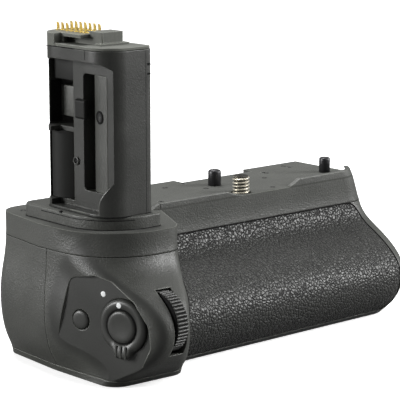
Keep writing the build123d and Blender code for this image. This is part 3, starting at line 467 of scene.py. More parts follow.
class Shape:
    """A mesh that is put together from simple forms and then finished as a piece."""

    def __init__(self):
        self.bm = bmesh.new()

    def rings(self, rings, matrix=None):
        """Skins a stack of closed rings of points; one that ends on its first ring is a loop."""
        turn = matrix or Matrix()
        rows = [[self.bm.verts.new(turn @ Vector(point)) for point in ring] for ring in rings]
        count = len(rows[0])
        for low, high in zip(rows, rows[1:]):
            for index in range(count):
                after = (index + 1) % count
                self.bm.faces.new((low[index], low[after], high[after], high[index]))
        if rings[0] != rings[-1]:
            self.bm.faces.new(reversed(rows[0]))
            self.bm.faces.new(rows[-1])
        return self

    def lathe(self, profile, matrix=None, count=48):
        """Skins a turned shape from (radius, height) pairs."""
        return self.rings([circle(radius, height, count) for radius, height in profile], matrix)

    def tube(self, outer, inner, low, high, matrix=None, count=48, lead=0.15):
        """Skins a ring with softened rims."""
        return self.lathe([
            (inner, low + lead), (inner + lead, low), (outer - lead, low), (outer, low + lead),
            (outer, high - lead), (outer - lead, high), (inner + lead, high),
            (inner, high - lead), (inner, low + lead)], matrix, count)

    def prism(self, outline, low, high):
        """An upright block over an outline in plan."""
        return self.rings([[(x, y, z) for x, y in outline] for z in (low, high)])

    def box(self, low, high, soften=0.0, matrix=None):
        """A block between two corners with softened edges."""
        verts = bmesh.ops.create_cube(self.bm, size=1.0)["verts"]
        size = [b - a for a, b in zip(low, high)]
        centre = Vector([(a + b) / 2 for a, b in zip(low, high)])
        bmesh.ops.scale(self.bm, vec=size, verts=verts)
        bmesh.ops.translate(self.bm, vec=centre, verts=verts)
        if soften:
            edges = list({edge for vert in verts for edge in vert.link_edges})
            result = bmesh.ops.bevel(self.bm, geom=edges, offset=soften, segments=2,
                                     profile=0.7, affect="EDGES")
            verts = list({vert for face in result["faces"] for vert in face.verts} | {
                vert for vert in verts if vert.is_valid})
        if matrix:
            bmesh.ops.transform(self.bm, matrix=matrix, verts=verts)
        return self

    def mesh(self, name):
        """The mesh in metres, with its faces looking outward."""
        bmesh.ops.recalc_face_normals(self.bm, faces=self.bm.faces)
        bmesh.ops.scale(self.bm, vec=(MM, MM, MM), verts=self.bm.verts)
        mesh = bpy.data.meshes.new(name)
        self.bm.to_mesh(mesh)
        self.bm.free()
        return mesh

    def finish(self, name, finish, body, slot, replaces=(), angle=35.0):
        """Turns the shape into a piece that rides on a body."""
        bmesh.ops.remove_doubles(self.bm, verts=self.bm.verts, dist=0.0005)
        mesh = self.mesh(name)
        mesh.materials.append(FINISHES[finish])
        settle(name, mesh, body, replaces, angle=angle)


def facing(origin, direction, up=(0, 0, 1)):
    """Matrix of a spot whose own Z points along a direction and whose own Y leans upward."""
    normal = Vector(direction).normalized()
    across = Vector(up).cross(normal).normalized()
    top = normal.cross(across)
    turn = Matrix((across, top, normal)).transposed().to_4x4()
    return Matrix.Translation(Vector(origin)) @ turn


def upright(centre, height=0.0):
    """Matrix of a spot above or below a centre, at a height."""
    return Matrix.Translation((centre[0], centre[1], height))


class GripSizes(bpy.types.PropertyGroup):
    """Sizes of the dressed pieces that a user may change."""

    thread_depth: FloatProperty(
        name="Thread depth", description="Depth of the mounting screw's thread, in mm",
        default=0.62, min=0.2, max=0.8)
    thread_turns: IntProperty(
        name="Thread turns", description="Turns of thread on the mounting screw", default=6,
        min=2, max=12)
    front_ribs: IntProperty(
        name="Front dial ribs", description="Ribs around the front dial", default=48, min=12,
        max=90)
    rear_ribs: IntProperty(
        name="Rear dial ribs", description="Ribs around the rear dial", default=40, min=12,
        max=90)
    wheel_ribs: IntProperty(
        name="Wheel ribs", description="Ribs around the attachment wheel", default=56, min=12,
        max=120)
    contacts: IntProperty(
        name="Contacts", description="Spring contacts in each row on the tower", default=7,
        min=2, max=12)
    contact_pitch: FloatProperty(
        name="Contact pitch", description="Distance between contacts, in mm", default=2.6,
        min=1.0, max=5.0)


COLOUR = {"subtype": "COLOR", "size": 3, "min": 0.0, "max": 1.0}


class GripColours(bpy.types.PropertyGroup):
    """Colours of the grip."""

    casing: FloatVectorProperty(
        name="Casing", description="Colour of the casing plastic",
        default=(0.044, 0.0455, 0.0405), **COLOUR)
    tower: FloatVectorProperty(
        name="Tower", description="Colour of the tower plastic",
        default=(0.022, 0.0228, 0.0202), **COLOUR)
    rubber: FloatVectorProperty(
        name="Rubber", description="Colour of the grip rubber",
        default=(0.029, 0.0298, 0.0268), **COLOUR)
    dot: FloatVectorProperty(
        name="Index dots", description="Colour of the index dots",
        default=(0.8, 0.82, 0.82), **COLOUR)


# Geometry Nodes trees for the pieces that repeat


class Recipe:
    """A geometry node tree with named inputs, run once and turned into a plain mesh."""

    def __init__(self, name):
        self.name = name
        self.tree = bpy.data.node_groups.new(name, "GeometryNodeTree")
        self.tree.interface.new_socket("Geometry", in_out="OUTPUT",
                                       socket_type="NodeSocketGeometry")
        self.entry = self.tree.nodes.new("NodeGroupInput")
        self.values = {}
        self.helper = None

    def ask(self, name, kind, value):
        """Adds a named input and its value, and gives back its socket in the tree."""
        item = self.tree.interface.new_socket(name, in_out="INPUT", socket_type=kind)
        self.values[item.identifier] = value
        return self.entry.outputs[name]

    def node(self, kind, inputs=None, out=0, **settings):
        """Adds one node and gives back one of its outputs."""
        return add_node(self.tree, kind, inputs, **settings).outputs[out]

    def solid(self, name, source):
        """Geometry of an object that is a named input."""
        return self.node("GeometryNodeObjectInfo", {
            "Object": self.ask(name, "NodeSocketObject", source)}, out="Geometry")

    def pattern(self, shape):
        """Geometry of a shape to copy; its helper object goes when the tree has run."""
        self.helper = add_object("pattern", shape.mesh("pattern"))
        return self.solid("Pattern", self.helper)

    def line(self, start, count, step=(0.0, 0.0, 0.0)):
        """Points in a straight line from a start in millimetres."""
        return self.node("GeometryNodeMeshLine", {
            "Count": count, "Start Location": tuple(value * MM for value in start),
            "Offset": step}, mode="OFFSET")

    def copies(self, points, instance):
        """One copy of a geometry at each point."""
        return self.node("GeometryNodeInstanceOnPoints", {
            "Points": points, "Instance": instance})

    def run(self, geometry, finish):
        """Ends the tree, evaluates it and gives back the mesh."""
        solid = self.node("GeometryNodeRealizeInstances", {"Geometry": geometry})
        shown = self.node("GeometryNodeSetMaterial", {
            "Geometry": solid,
            "Material": self.ask("Material", "NodeSocketMaterial", FINISHES[finish])})
        add_node(self.tree, "NodeGroupOutput", {"Geometry": shown})
        holder = add_object(self.name, bpy.data.meshes.new(self.name))
        modifier = holder.modifiers.new("Recipe", "NODES")
        modifier.node_group = self.tree
        for identifier, value in self.values.items():
            modifier[identifier] = value
        bpy.context.view_layer.update()
        evaluated = holder.evaluated_get(bpy.context.evaluated_depsgraph_get())
        mesh = bpy.data.meshes.new_from_object(evaluated)
        for done in (holder, self.helper):
            if done:
                bpy.data.objects.remove(done)
        mesh.name = self.name
        return mesh


def rib_ring(name, count, radius_mm, length_mm, finish):
    """Rounded ribs standing around a rim, along the rim's own axis."""
    recipe = Recipe(name)
    ribs = recipe.ask("Ribs", "NodeSocketInt", count)
    radius = recipe.ask("Rim radius", "NodeSocketFloat", (radius_mm - RIB_RADIUS) * MM)
    width = recipe.ask("Rib radius", "NodeSocketFloat", RIB_RADIUS * MM)
    length = recipe.ask("Rib length", "NodeSocketFloat", length_mm * MM)
    rim = recipe.node("GeometryNodeMeshCircle", {"Vertices": ribs, "Radius": radius})
    rib = recipe.node("GeometryNodeMeshCylinder", {
        "Vertices": 10, "Radius": width, "Depth": length})
    return recipe.run(recipe.copies(rim, rib), finish)


def edge_lines(node, radius_mm, above=None):
    """Thin dark lines of painted shade, for the gaps along a solid's sharp outer edges, above a
    level on an axis.
    """
    recipe = Recipe(node + "_seam")
    shape = recipe.solid("Solid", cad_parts[node])
    limit = recipe.ask("Edge angle", "NodeSocketFloat", radians(45))
    radius = recipe.ask("Line radius", "NodeSocketFloat", radius_mm * MM)
    welded = recipe.node("GeometryNodeMergeByDistance", {
        "Geometry": shape, "Distance": 0.01 * MM})
    lean = recipe.node("GeometryNodeInputMeshEdgeAngle", out="Signed Angle")
    sharp = recipe.node("FunctionNodeCompare", {"A": lean, "B": limit},
                        operation="GREATER_THAN")
    if above:
        axis, level = above
        spot = recipe.node("GeometryNodeInputPosition")
        reach = recipe.node("ShaderNodeVectorMath", {0: spot, 1: axis}, 1,
                            operation="DOT_PRODUCT")
        high = recipe.node("FunctionNodeCompare", {"A": reach, "B": level * MM},
                           operation="GREATER_THAN")
        sharp = recipe.node("FunctionNodeBooleanMath", {0: sharp, 1: high}, operation="AND")
    path = recipe.node("GeometryNodeMeshToCurve", {"Mesh": welded, "Selection": sharp})
    ring = recipe.node("GeometryNodeCurvePrimitiveCircle", {
        "Resolution": 6, "Radius": radius})
    line = recipe.node("GeometryNodeCurveToMesh", {
        "Curve": path, "Profile Curve": ring, "Fill Caps": True})
    return recipe.run(line, "gap")


def contact_rows(name, starts, count, pitch_mm, blade, finish):
    """Straight rows of spring contacts, each from its own start."""
    recipe = Recipe(name)
    many = recipe.ask("Contacts", "NodeSocketInt", count)
    step = recipe.ask("Step", "NodeSocketVector", (0, -pitch_mm * MM, 0))
    shape = recipe.pattern(blade)
    rows = [recipe.copies(recipe.line(start, many, step), shape) for start in starts]
    return recipe.run(recipe.node("GeometryNodeJoinGeometry", {"Geometry": rows}), finish)


def scatter(name, places, height, shape, finish):
    """One shape put at each of a list of places in plan, all at one height."""
    recipe = Recipe(name)
    spots = [recipe.line((x, y, height), 1) for x, y in places]
    points = recipe.node("GeometryNodeJoinGeometry", {"Geometry": spots})
    return recipe.run(recipe.copies(points, recipe.pattern(shape)), finish)


# The stage, in metres and watts

FLOOR_REACH, FLOOR_GAP = 3.0, 0.0002
SHEET, SHEET_SEEN = (0.16,) * 3, (0.82,) * 3
WORLD_LIGHT = 0.17
LAMPS = (
    ("left_lamp", (-0.95, 0.5, 0.3), 0.4, 13.5),
    ("front_lamp", (0.3, -1, 0.95), 0.5, 5),
    ("right_lamp", (1.05, -0.8, 0.5), 0.6, 27),
    ("top_lamp", (0.15, 0.5, 1.2), 0.7, 22),
)
LAMP_TARGET = Vector((-0.02, -0.01, 0.0))
CAMERA_PLACE = (-0.44596, -0.48618, 0.12875)
CAMERA_AIM = Vector((0.6459, 0.7378, -0.1959))
CAMERA_LENS = 162.0


# Operators, one for each piece or group of like pieces


class GRIP_OT_stage(bpy.types.Operator):
    """Pale floor, soft lamps and the camera"""

    bl_idname = "grip.stage"
    bl_label = "Stage, lamps and camera"

    def execute(self, context):
        scene = context.scene
        scene.view_settings.view_transform = "Standard"
        self.add_floor()
        world = bpy.data.worlds.new("studio")
        world.use_nodes = True
        scene.world = world
        path = add_node(world.node_tree, "ShaderNodeLightPath")
        strength = add_node(world.node_tree, "ShaderNodeMapRange", {
            "Value": path.outputs["Is Camera Ray"], "To Min": WORLD_LIGHT, "To Max": 1})
        back = world.node_tree.nodes["Background"].inputs
        back["Color"].default_value = (1, 1, 1, 1)
        world.node_tree.links.new(strength.outputs["Result"], back["Strength"])
        for name, place, size, power in LAMPS:
            lamp = bpy.data.lights.new(name, "AREA")
            lamp.size = size
            lamp.energy = power
            self.stand(name, lamp, place, LAMP_TARGET - Vector(place))
        lens = bpy.data.cameras.new("camera")
        lens.lens = CAMERA_LENS
        lens.sensor_width = 36
        lens.clip_start = 0.01
        scene.camera = self.stand("camera", lens, CAMERA_PLACE, CAMERA_AIM)
        return {"FINISHED"}

    def stand(self, name, data, place, aim):
        """Puts a lamp or the camera in its place, looking along a direction."""
        holder = add_object(name, data)
        holder.location = place
        holder.rotation_euler = aim.to_track_quat("-Z", "Y").to_euler()
        return holder

    def add_floor(self):
        """Sheet under the grip, pale to the camera and dim to the grip itself."""
        bm = bmesh.new()
        bmesh.ops.create_grid(bm, x_segments=2, y_segments=2, size=FLOOR_REACH)
        bmesh.ops.translate(bm, vec=(0, 0, CAD_BOX[0][2] - FLOOR_GAP), verts=bm.verts)
        mesh = bpy.data.meshes.new("floor")
        bm.to_mesh(mesh)
        bm.free()
        floor = add_object("floor", mesh)
        finish = Finish("floor_sheet", SHEET_SEEN, 0.9, specular=0.1)
        seen = finish.node("ShaderNodeLightPath", out="Is Camera Ray")
        finish.feed("Base Color", finish.mixed(seen, SHEET, SHEET_SEEN))
        glow = finish.node("ShaderNodeEmission", {
            "Color": (1, 1, 1, 1), "Strength": seen * 0.5})
        both = finish.node("ShaderNodeAddShader", {
            0: glow, 1: Wire(finish, finish.shader.outputs["BSDF"])})
        output = finish.tree.nodes["Material Output"]
        finish.tree.links.new(both.socket, output.inputs["Surface"])
        mesh.materials.append(finish.material)


class GRIP_OT_finishes(bpy.types.Operator):
    """Finishes of the solids that show as they are"""

    bl_idname = "grip.finishes"
    bl_label = "Casing finishes"

    def execute(self, context):
        make_finishes(context.scene.grip_colours)
        for finish, nodes in NODE_FINISHES.items():
            for node in nodes:
                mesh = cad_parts[node].data
                mesh.materials.clear()
                mesh.materials.append(FINISHES[finish])
        return {"FINISHED"}


class GRIP_OT_mounting_screw(bpy.types.Operator):
    """Threaded screw that goes into the camera"""

    bl_idname = "grip.mounting_screw"
    bl_label = "Mounting screw"

    def execute(self, context):
        sizes = context.scene.grip_sizes
        depth, turns = sizes.thread_depth, sizes.thread_turns
        low = SCREW_RISE - turns * THREAD_PITCH
        count = 64

        def span_at(crest, height):
            bound = SCREW_RADIUS - max(0, height - (SCREW_RISE - 0.8)) * 0.75
            return min(SCREW_RADIUS - depth * (1 - crest), bound)

        Shape().rings([
            circle(SHANK_RADIUS, SCREW_FOOT, count), circle(SHANK_RADIUS, low - 0.6, count),
            circle(SCREW_RADIUS - depth, low, count),
            *thread_rings(low, SCREW_RISE, 1, turns * 16, count, span_at),
            circle(1.4, SCREW_RISE, count), circle(1.1, SCREW_RISE - 0.35, count),
        ]).finish("mounting_screw_threaded", "thread", "mounting_screw", "steel",
                  ("mounting_screw",), 28)
        return {"FINISHED"}


class GRIP_OT_dials(bpy.types.Operator):
    """Ribbed command dials and the attachment wheel"""

    bl_idname = "grip.dials"
    bl_label = "Dials and wheel"

    def execute(self, context):
        sizes = context.scene.grip_sizes
        self.ribbed("front_dial", sizes.front_ribs)
        self.ribbed("rear_dial", sizes.rear_ribs)
        self.wheel(sizes.wheel_ribs)
        return {"FINISHED"}

    def ribbed(self, dial, ribs):
        """Turned body of a dial, near-black with painted shade, with rounded ribs between two
        plain rims.
        """
        low, high = corners_of(dial)
        width, radius = high[0] - low[0], (high[1] - low[1]) / 2
        place = facing((low + high) / 2, (1, 0, 0), (0, 1, 0))
        # painted shade: the core between the ribs is near-black
        Shape().tube(radius - RIB_RADIUS * 1.1, 1.3, -width / 2, width / 2, place, 96,
                     0.35).finish(dial + "_core", "gap", dial, "dial", (dial,))
        mesh = rib_ring(dial + "_ribs", ribs, radius, width * 0.86, "dial")
        settle(dial + "_ribs", mesh, dial, place=place, angle=60)

    def wheel(self, ribs):
        """Knurled attachment wheel with its hub."""
        low, high = corners_of("attachment_wheel")
        centre, radius = (low + high) / 2, (high[0] - low[0]) / 2
        top, bottom = high[2], high[2] - 7.5
        rim = radius - RIB_RADIUS
        Shape().lathe([
            (2.05, low[2]), (4, low[2]), (4, bottom), (rim - 0.5, bottom), (rim, bottom + 0.5),
            (rim, top - 0.5), (rim - 0.5, top), (5, top), (5, top - 0.4), (2.05, top - 0.4),
            (2.05, low[2]),
        ], upright(centre), 112).finish(
            "attachment_wheel_core", "control", "wheel", "control", ("attachment_wheel",))
        mesh = rib_ring("attachment_wheel_ribs", ribs, radius, 6.2, "control")
        settle("attachment_wheel_ribs", mesh, "wheel",
               place=upright(centre, (top + bottom) / 2), angle=60)


class GRIP_OT_contacts(bpy.types.Operator):
    """Gold spring contacts on the tower"""

    bl_idname = "grip.contacts"
    bl_label = "Tower contacts"

    def execute(self, context):
        sizes = context.scene.grip_sizes
        low, high = corners_of("contact_pins")
        rise, half_width = high[2] - low[2], 0.85
        line = [(x, rise * share) for x, share in (
            (-0.5, 0), (-0.5, 0.6), (-0.56, 0.84), (-0.66, 0.96), (-0.5, 1), (-0.2, 0.98),
            (0.18, 0.86), (0.4, 0.55), (0.45, 0.15), (0.2, 0.15), (0.14, 0.5), (0, 0.74),
            (-0.12, 0.6), (-0.14, 0))]
        blade = Shape().rings([[(x, y * (1 - 0.3 * z / rise), z) for x, z in line]
                               for y in (-0.27, 0.27)])
        blade.box((-half_width, -0.29, 0), (half_width, 0.29, rise * 0.1), 0.08)
        starts = [(x, high[1] - 0.3, low[2] - 0.02)
                  for x in (low[0] + half_width, high[0] - half_width)]
        mesh = contact_rows("contact_pins_sprung", starts, sizes.contacts, sizes.contact_pitch,
                            blade, "gold")
        settle("contact_pins_sprung", mesh, "casing", ("contact_pins",), angle=50)
        return {"FINISHED"}


class GRIP_OT_pins(bpy.types.Operator):
    """Locating pins with turned tips"""

    bl_idname = "grip.pins"
    bl_label = "Locating pins"

    def execute(self, context):
        for node, radius in (("locating_pin_left", 2.5), ("locating_pin_right", 2.2)):
            low, high = corners_of(node)
            foot, tip = low[2], high[2]
            Shape().lathe([(radius + reach, height) for reach, height in (
                (1.2, foot), (1.2, foot + 1.18), (-0.42, foot + 1.2), (-0.42, 0), (-0.1, 0),
                (0, 0.12), (0, tip - 0.75), (-0.12, tip - 0.4), (-0.45, tip - 0.1),
                (-0.8, tip), (-1.5, tip - 0.02),
            )], upright((low + high) / 2), 56).finish(
                node + "_turned", "dark_metal", "casing", "dark_metal", (node,), 40)
        return {"FINISHED"}


class GRIP_OT_fasteners(bpy.types.Operator):
    """Screw heads with cross recesses in the top face, the base and the tower"""

    bl_idname = "grip.fasteners"
    bl_label = "Screw heads"

    def head(self, radius, height, downward=False):
        """A pan head with a cross sunk into it, its face on Z 0."""
        count = 32
        turn = -1 if downward else 1
        rings = [circle(radius, -height * turn, count), circle(radius, -0.12 * turn, count),
                 circle(radius - 0.15, 0, count)]
        for share, drop in ((0.62, 0), (0.5, 0.35), (0.2, 0.5)):
            rings.append(circle(
                lambda angle: radius * share * (0.3 + 0.7 * abs(cos(2 * angle)) ** 1.5),
                -drop * turn, count))
        return Shape().rings(rings)

    def execute(self, context):
        top = ((-5, 27.5), (34, 24), (50, 26), (-34, 6), (-34, 28))
        base = ((-72, 20), (-72, -12), (-30, 10), (35, 10), (56, -14), (56, 24))
        base_face = CAD_BOX[0][2] / MM + 0.12
        for name, places, radius, z, node in (
            ("plate_screw_heads", top, 1.1, -0.05, "plate_screws"),
            ("base_screw_heads", base, 1.9, base_face, "base_screws"),
        ):
            mesh = scatter(name, places, z, self.head(radius, 0.8, z == base_face),
                           "dark_metal")
            settle(name, mesh, "casing", (node,))
        for name, place, aim, radius in (
            ("tower_recess_screw", RECESS_SCREW, RECESS_AIM, 1.45),
            ("tower_boss_screw", (-78.95, -3, 21.5), (-1, 0, 0), 0.85),
        ):
            head = self.head(radius, 0.9)
            bmesh.ops.transform(head.bm, matrix=facing(place, aim), verts=head.bm.verts)
            head.finish(name, "dark_metal", "casing", "dark_screw")
        return {"FINISHED"}


class GRIP_OT_tripod_socket(bpy.types.Operator):
    """Threaded tripod socket in the base"""

    bl_idname = "grip.tripod_socket"
    bl_label = "Tripod socket"

    def execute(self, context):
        low, high = corners_of("tripod_socket")
        flange, foot = (high[0] - low[0]) / 2, low[2]
        count = 64
        rings = [circle(radius, height, count) for radius, height in (
            (flange - 2.6, high[2]), (flange - 2.6, foot + 1.6), (flange, foot + 1.55),
            (flange, foot + 0.25), (flange - 0.25, foot), (3.75, foot), (3.35, foot + 0.35))]
        rings += thread_rings(foot + 0.4, high[2] - 0.2, 0, 42, count,
                              lambda crest, height: 3.33 - 0.3 * crest)
        Shape().rings(rings + rings[:1], upright((low + high) / 2)).finish(
            "tripod_socket_threaded", "plate_steel", "casing", "steel", ("tripod_socket",), 40)
        return {"FINISHED"}


class GRIP_OT_rear_controls(bpy.types.Operator):
    """Dished AF button and the pips of the joystick's cap"""

    bl_idname = "grip.rear_controls"
    bl_label = "Rear controls"

    def back_of(self, node):
        """Matrix of the middle of a node's rear face, looking backward."""
        low, high = corners_of(node)
        centre = (low + high) / 2
        return facing((centre[0], high[1], centre[2]), (0, 1, 0))

    def execute(self, context):
        low, high = corners_of("af_button")
        radius, depth = (high[0] - low[0]) / 2, high[1] - low[1]
        Shape().lathe([
            (radius, -depth), (radius, -0.7), (radius - 0.15, -0.3), (radius - 0.5, -0.05),
            (radius * 0.7, 0), (radius * 0.4, -0.12), (0.4, -0.2),
        ], self.back_of("af_button"), 56).finish(
            "af_button_dished", "button", "af_button", "button", ("af_button",), 50)
        place = self.back_of("joystick_cap")
        pips = Shape()
        for ring in range(3):
            for point in circle(0.7 + 0.85 * ring, -0.25, 6 * (ring + 1)):
                pips.lathe([(0.3, -0.5), (0.3, 0.1), (0.16, 0.24), (0.05, 0.25)],
                           place @ Matrix.Translation(point), 10)
        pips.finish("joystick_pips", "button", "joystick_cap", "button")
        return {"FINISHED"}


class GRIP_OT_seams(bpy.types.Operator):
    """Dark lines of painted shade in the gaps where the rubber skins, the tower and the covers
    end
    """

    bl_idname = "grip.seams"
    bl_label = "Seams"

    def execute(self, context):
        downward = (0, 0, -1)
        for node, above, radius, sunk, slot in (
            ("front_grip_rubber", None, 0.3, 0, "grip_rubber"),
            ("thumb_rest_rubber", None, 0.3, 0, "grip_rubber"),
            ("tower_flange", (downward, -1), 0.26, 0, "tower"),
            ("tower_frame", (downward, -5.3), 0.16, 0, "tower"),
            ("front_cover", ((0, 0, 1), -10.8), 0.09, 0.06, "casing"),
            ("rear_shell", ((-1, 0, 0), 80), 0.15, 0.12, "casing"),
        ):
            settle(node + "_seam", edge_lines(node, radius, above), "casing",
                   place=Matrix.Translation((sunk, 0, 0)), angle=60)
        return {"FINISHED"}


class GRIP_OT_top_marks(bpy.types.Operator):
    """Near-black discs of painted shade for the small blind holes in the top face"""

    bl_idname = "grip.top_marks"
    bl_label = "Holes in the top face"

    def execute(self, context):
        places = ((-16, 25), (-5, 14.1), (34, 22.3), (26.3, 15.3), (15.7, -0.6),
                  (49.7, 29), (-81, 25.9), (-50, 24))
        hole = Shape().lathe([(1, -0.3), (1, 0.05), (0.9, 0.09), (0.72, 0.03), (0.6, -0.2)],
                             None, 24)
        # painted shade: each hole is a small near-black disc
        settle("top_holes", scatter("top_holes", places, 0, hole, "gap"), "casing")
        return {"FINISHED"}


class GRIP_OT_tower_details(bpy.types.Operator):
    """Seams, notches, pocket, walls and boss of the tower, and the start of the left lip"""

    bl_idname = "grip.tower_details"
    bl_label = "Tower details"

    def execute(self, context):
        (left, front, _), high = corners_of("tower_frame")
        self.blocks(left, front, *high)
        self.flange_groove()
        # sloped start of the left lip
        Shape().rings([[(-48.5, y, -0.1), (-43.45, y, -0.1), (-43.45, y, 2.17)]
                       for y in (-4.98, -3.43)]).finish(
            "left_lip_start", "casing", "casing", "casing")
        # raised floor of the pocket
        Shape().box((left + 8.6, 2.6, 35.4), (left + 12.9, 10.9, 46), 0.3).finish(
            "tower_pocket_step", "casing", "casing", "tower")
        Shape().tube(1.5, 0.9, 0, 0.6, facing((-78.8, -3, 21.5), (-1, 0, 0)), 32).finish(
            "tower_boss", "tower", "casing", "tower")
        # painted shade: a near-black seat around the recess screw
        Shape().tube(2.3, 1.5, -0.6, 0.1, facing(RECESS_SCREW, RECESS_AIM), 40, 0.06).finish(
            "tower_screw_seat", "gap", "casing", "tower")
        # curved wall inside the slot
        Shape().prism([
            (-78.9, -19.95), (-78.9, -18), (-78.8, -16.2), (-78.5, -14.4), (-78, -12.8),
            (-77.3, -11.4), (-76.6, -10.9), (-70.4, -10.9), (-70.4, -11.7), (-76.6, -11.8),
            (-77.9, -15), (-78, -19.95),
        ], 12.1, 51.9).finish("tower_slot_wall", "casing", "casing", "tower", angle=50)
        # curved wall of the lower channel, darkened with painted shade
        Shape().prism([(left + x, y) for x, y in (
            (5.2, 11.15), (3.6, 9.8), (2.9, 8), (3.1, 5.8), (4.1, 3.4), (5.8, 1),
            (8.2, -1.45), (12.9, -1.45), (12.9, 11.15),
        )], 7.6, 31.1).finish("tower_channel_wall", "recess", "casing", "tower", angle=50)
        return {"FINISHED"}

    def blocks(self, left, front, right, back, top):
        """Straight seams, notches and steps, each from its corners and its softening; the seams,
        notches and pocket panel are near-black painted shade.
        """
        for name, finish, blocks in (
            ("tower_lines", "gap", (
                # notch and seam of the band under the cap
                ((left - 0.02, -13.95, 57.3), (left + 0.3, -13.6, top)),
                ((left - 0.02, -8, 60.35), (left + 0.3, back - 5, 60.5)),
                # upright seam near the tower's front right edge, and the notches in that edge
                ((-65.9, front - 0.02, 5), (-65.75, front + 0.3, top - 0.2)),
                ((right - 2.4, front - 0.02, 55), (right - 1, front + 0.8, 55.9)),
                ((right - 2.4, front - 0.02, 51.9), (right - 1, front + 0.8, 52.6)),
                # near-black panel of painted shade at the back of the pocket in the upper
                # channel
                ((left + 4.4, 10.95, 33.4), (left + 9, 11.25, 47.8)),
            )),
            # painted light: these pieces take the lighter cap finish
            ("tower_cap_web", "cap", (
                # web beside the cap's corner, and the step under the connector
                ((-80.4, 1.6, 61.8), (-79, 2.9, 63.8), 0.12),
                ((-76.2, -14.6, 61.6), (-76, -14.3, 65.9), 0.04),
            )),
            # painted shade: the end of the pocket takes the near-black recess finish
            ("tower_pocket_end", "recess", (
                ((left + 5.6, -1.45, 48.6), (left + 12.9, 11.15, 55.9), 0.3),
            )),
            # painted highlight: a thin strip of the lighter cap finish along the tower's foot
            # edge
            ("tower_foot_edge", "cap", (
                ((left - 0.04, -13.5, 5.3), (left + 0.3, -4.9, 5.55), 0.05),
            )),
        ):
            shape = Shape()
            for block in blocks:
                shape.box(*block)
            shape.finish(name, finish, "casing", "tower")

    def flange_groove(self):
        """Groove along the flange's straight and round side, and the notch in its edge, both
        near-black with painted shade.
        """
        section = [(FLANGE_RADIUS + reach, height) for reach, height in (
            (0.02, 3.2), (0.02, 3.42), (-0.3, 3.42), (-0.3, 3.2))]
        path = [(0, 16)] + [(radians(angle), 0) for angle in range(0, 76, 5)]
        Shape().rings([
            [(FLANGE_CENTRE[0] - reach * cos(angle),
              FLANGE_CENTRE[1] + shift - reach * sin(angle), height)
             for reach, height in section] for angle, shift in path
        ]).box((-85.62, -2.8, 4.1), (-84.6, -1.6, FLANGE_TOP + 0.02)).finish(
            "tower_flange_groove", "gap", "casing", "tower")


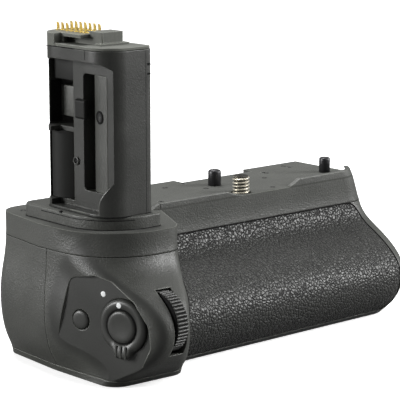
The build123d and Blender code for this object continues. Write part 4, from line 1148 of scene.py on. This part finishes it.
class GRIP_OT_end_controls(bpy.types.Operator):
    """Shutter button, its lock ring with the ridged tab, function button and index dots"""

    bl_idname = "grip.end_controls"
    bl_label = "Shutter controls"

    def execute(self, context):
        for name, node, profile, shift, count in (
            ("shutter_button_dished", "shutter_button", [
                (5.6, -1.6), (5.6, 1.35), (5.45, 1.8), (5.1, 2.08), (4.5, 2.18), (3.4, 2.08),
                (2, 1.98), (0.9, 1.94)], (0, 0, 0), 72),
            ("function_button_domed", "function_button", [
                (3.3, -1.6), (3.3, 0.1), (3.15, 0.42), (2.7, 0.62), (1.9, 0.69), (0.8, 0.7)],
             (-17.8, -0.3, 0), 56),
        ):
            Shape().lathe(profile, FACET @ Matrix.Translation(shift), count).finish(
                name, "button", node, "button", (node,), 50)
        self.ring()
        self.dot("ring_index_dot", (-0.9, 7.3, 1.69), 0.92, "shutter_ring")
        self.dot("casing_index_dot", (-8.4, 9.9, 0), 0.95, "casing")
        return {"FINISHED"}

    def rim(self, inset):
        """Edge of the lock ring with its thumb tab at the foot, set in from its widest."""
        def reach(angle):
            x, y = cos(angle), sin(angle)
            tab = max(0, 1 - (abs(x) / 0.42) ** 4) * (y < 0)
            return 9.3 - inset + 2 * min(1, tab) * (max(0, -y) ** 6) ** 0.3
        return reach

    def tab_rise(self, x, y, height):
        """How much higher the ring stands at its tab, outside its inner edge."""
        if height < 1 or y > -5.5 or hypot(x, y) < 6.3:
            return 0
        return 0.55 * max(0, 1 - (abs(x) / 4.6) ** 4) * min(1, (-5.5 - y) / 1.6)

    def ring(self):
        """Bevelled ring with a ridged thumb tab at its foot."""
        rings = []
        for radius, level in (
            (self.rim(0), -0.6), (self.rim(0), 0.7), (self.rim(0.25), 1.1), (self.rim(0.9), 1.6),
            (self.rim(1.5), 1.7), (6.5, 1.62), (6.1, 1.35), (5.9, 0.9), (5.9, -0.6),
        ):
            rings.append([(x, y, z + self.tab_rise(x, y, z))
                          for x, y, z in circle(radius, level, 144)])
        Shape().rings(rings + rings[:1], FACET).finish(
            "shutter_lock_ring_bevelled", "control", "shutter_ring", "control",
            ("shutter_lock_ring",), 60)
        # painted shade: a near-black ring in the gap between the button and the lock ring
        Shape().tube(6.15, 5.66, 1.2, 1.42, FACET, 72, 0.03).finish(
            "shutter_gap", "gap", "shutter_ring", "control")
        ridges = Shape()
        for x in (-1.9, 0, 1.9):
            ridges.box((-0.38, -2.3, -0.6), (0.38, 2, 0.36), 0.16,
                       FACET @ Matrix.Translation((x, -8.4, 2)))
        ridges.finish("shutter_ring_ridges", "control", "shutter_ring", "control")

    def dot(self, name, spot, radius, body):
        """A painted index dot at a spot of the facet."""
        Shape().lathe([(radius, -0.3), (radius, 0.03), (radius - 0.1, 0.07), (0.2, 0.08)],
                      FACET @ Matrix.Translation(spot), 32).finish(name, "dot", body, "control")


PANEL_PIECES = [
    GRIP_OT_stage, GRIP_OT_finishes, GRIP_OT_mounting_screw, GRIP_OT_dials, GRIP_OT_contacts,
    GRIP_OT_pins, GRIP_OT_fasteners, GRIP_OT_tripod_socket, GRIP_OT_rear_controls,
    GRIP_OT_seams, GRIP_OT_top_marks, GRIP_OT_tower_details, GRIP_OT_end_controls,
]


class GRIP_PT_panel(bpy.types.Panel):
    """Lists the pieces of the grip"""

    bl_idname = "GRIP_PT_panel"
    bl_label = "Battery grip"
    bl_space_type = "VIEW_3D"
    bl_region_type = "UI"
    bl_category = "Grip"

    def draw(self, context):
        scene = context.scene
        for group in (scene.grip_sizes, scene.grip_colours):
            box = self.layout.box()
            for name in group.__annotations__:
                box.prop(group, name)
        for piece in PANEL_PIECES:
            self.layout.operator(piece.bl_idname)


CLASSES = [GripSizes, GripColours, *PANEL_PIECES, GRIP_PT_panel]


def register():
    for item in CLASSES:
        bpy.utils.register_class(item)
    bpy.types.Scene.grip_sizes = PointerProperty(type=GripSizes)
    bpy.types.Scene.grip_colours = PointerProperty(type=GripColours)


def unregister():
    del bpy.types.Scene.grip_colours
    del bpy.types.Scene.grip_sizes
    for item in reversed(CLASSES):
        bpy.utils.unregister_class(item)


def main():
    register()
    for piece in PANEL_PIECES:
        group, action = piece.bl_idname.split(".")
        getattr(getattr(bpy.ops, group), action)()


if __name__ == "__main__":
    main()
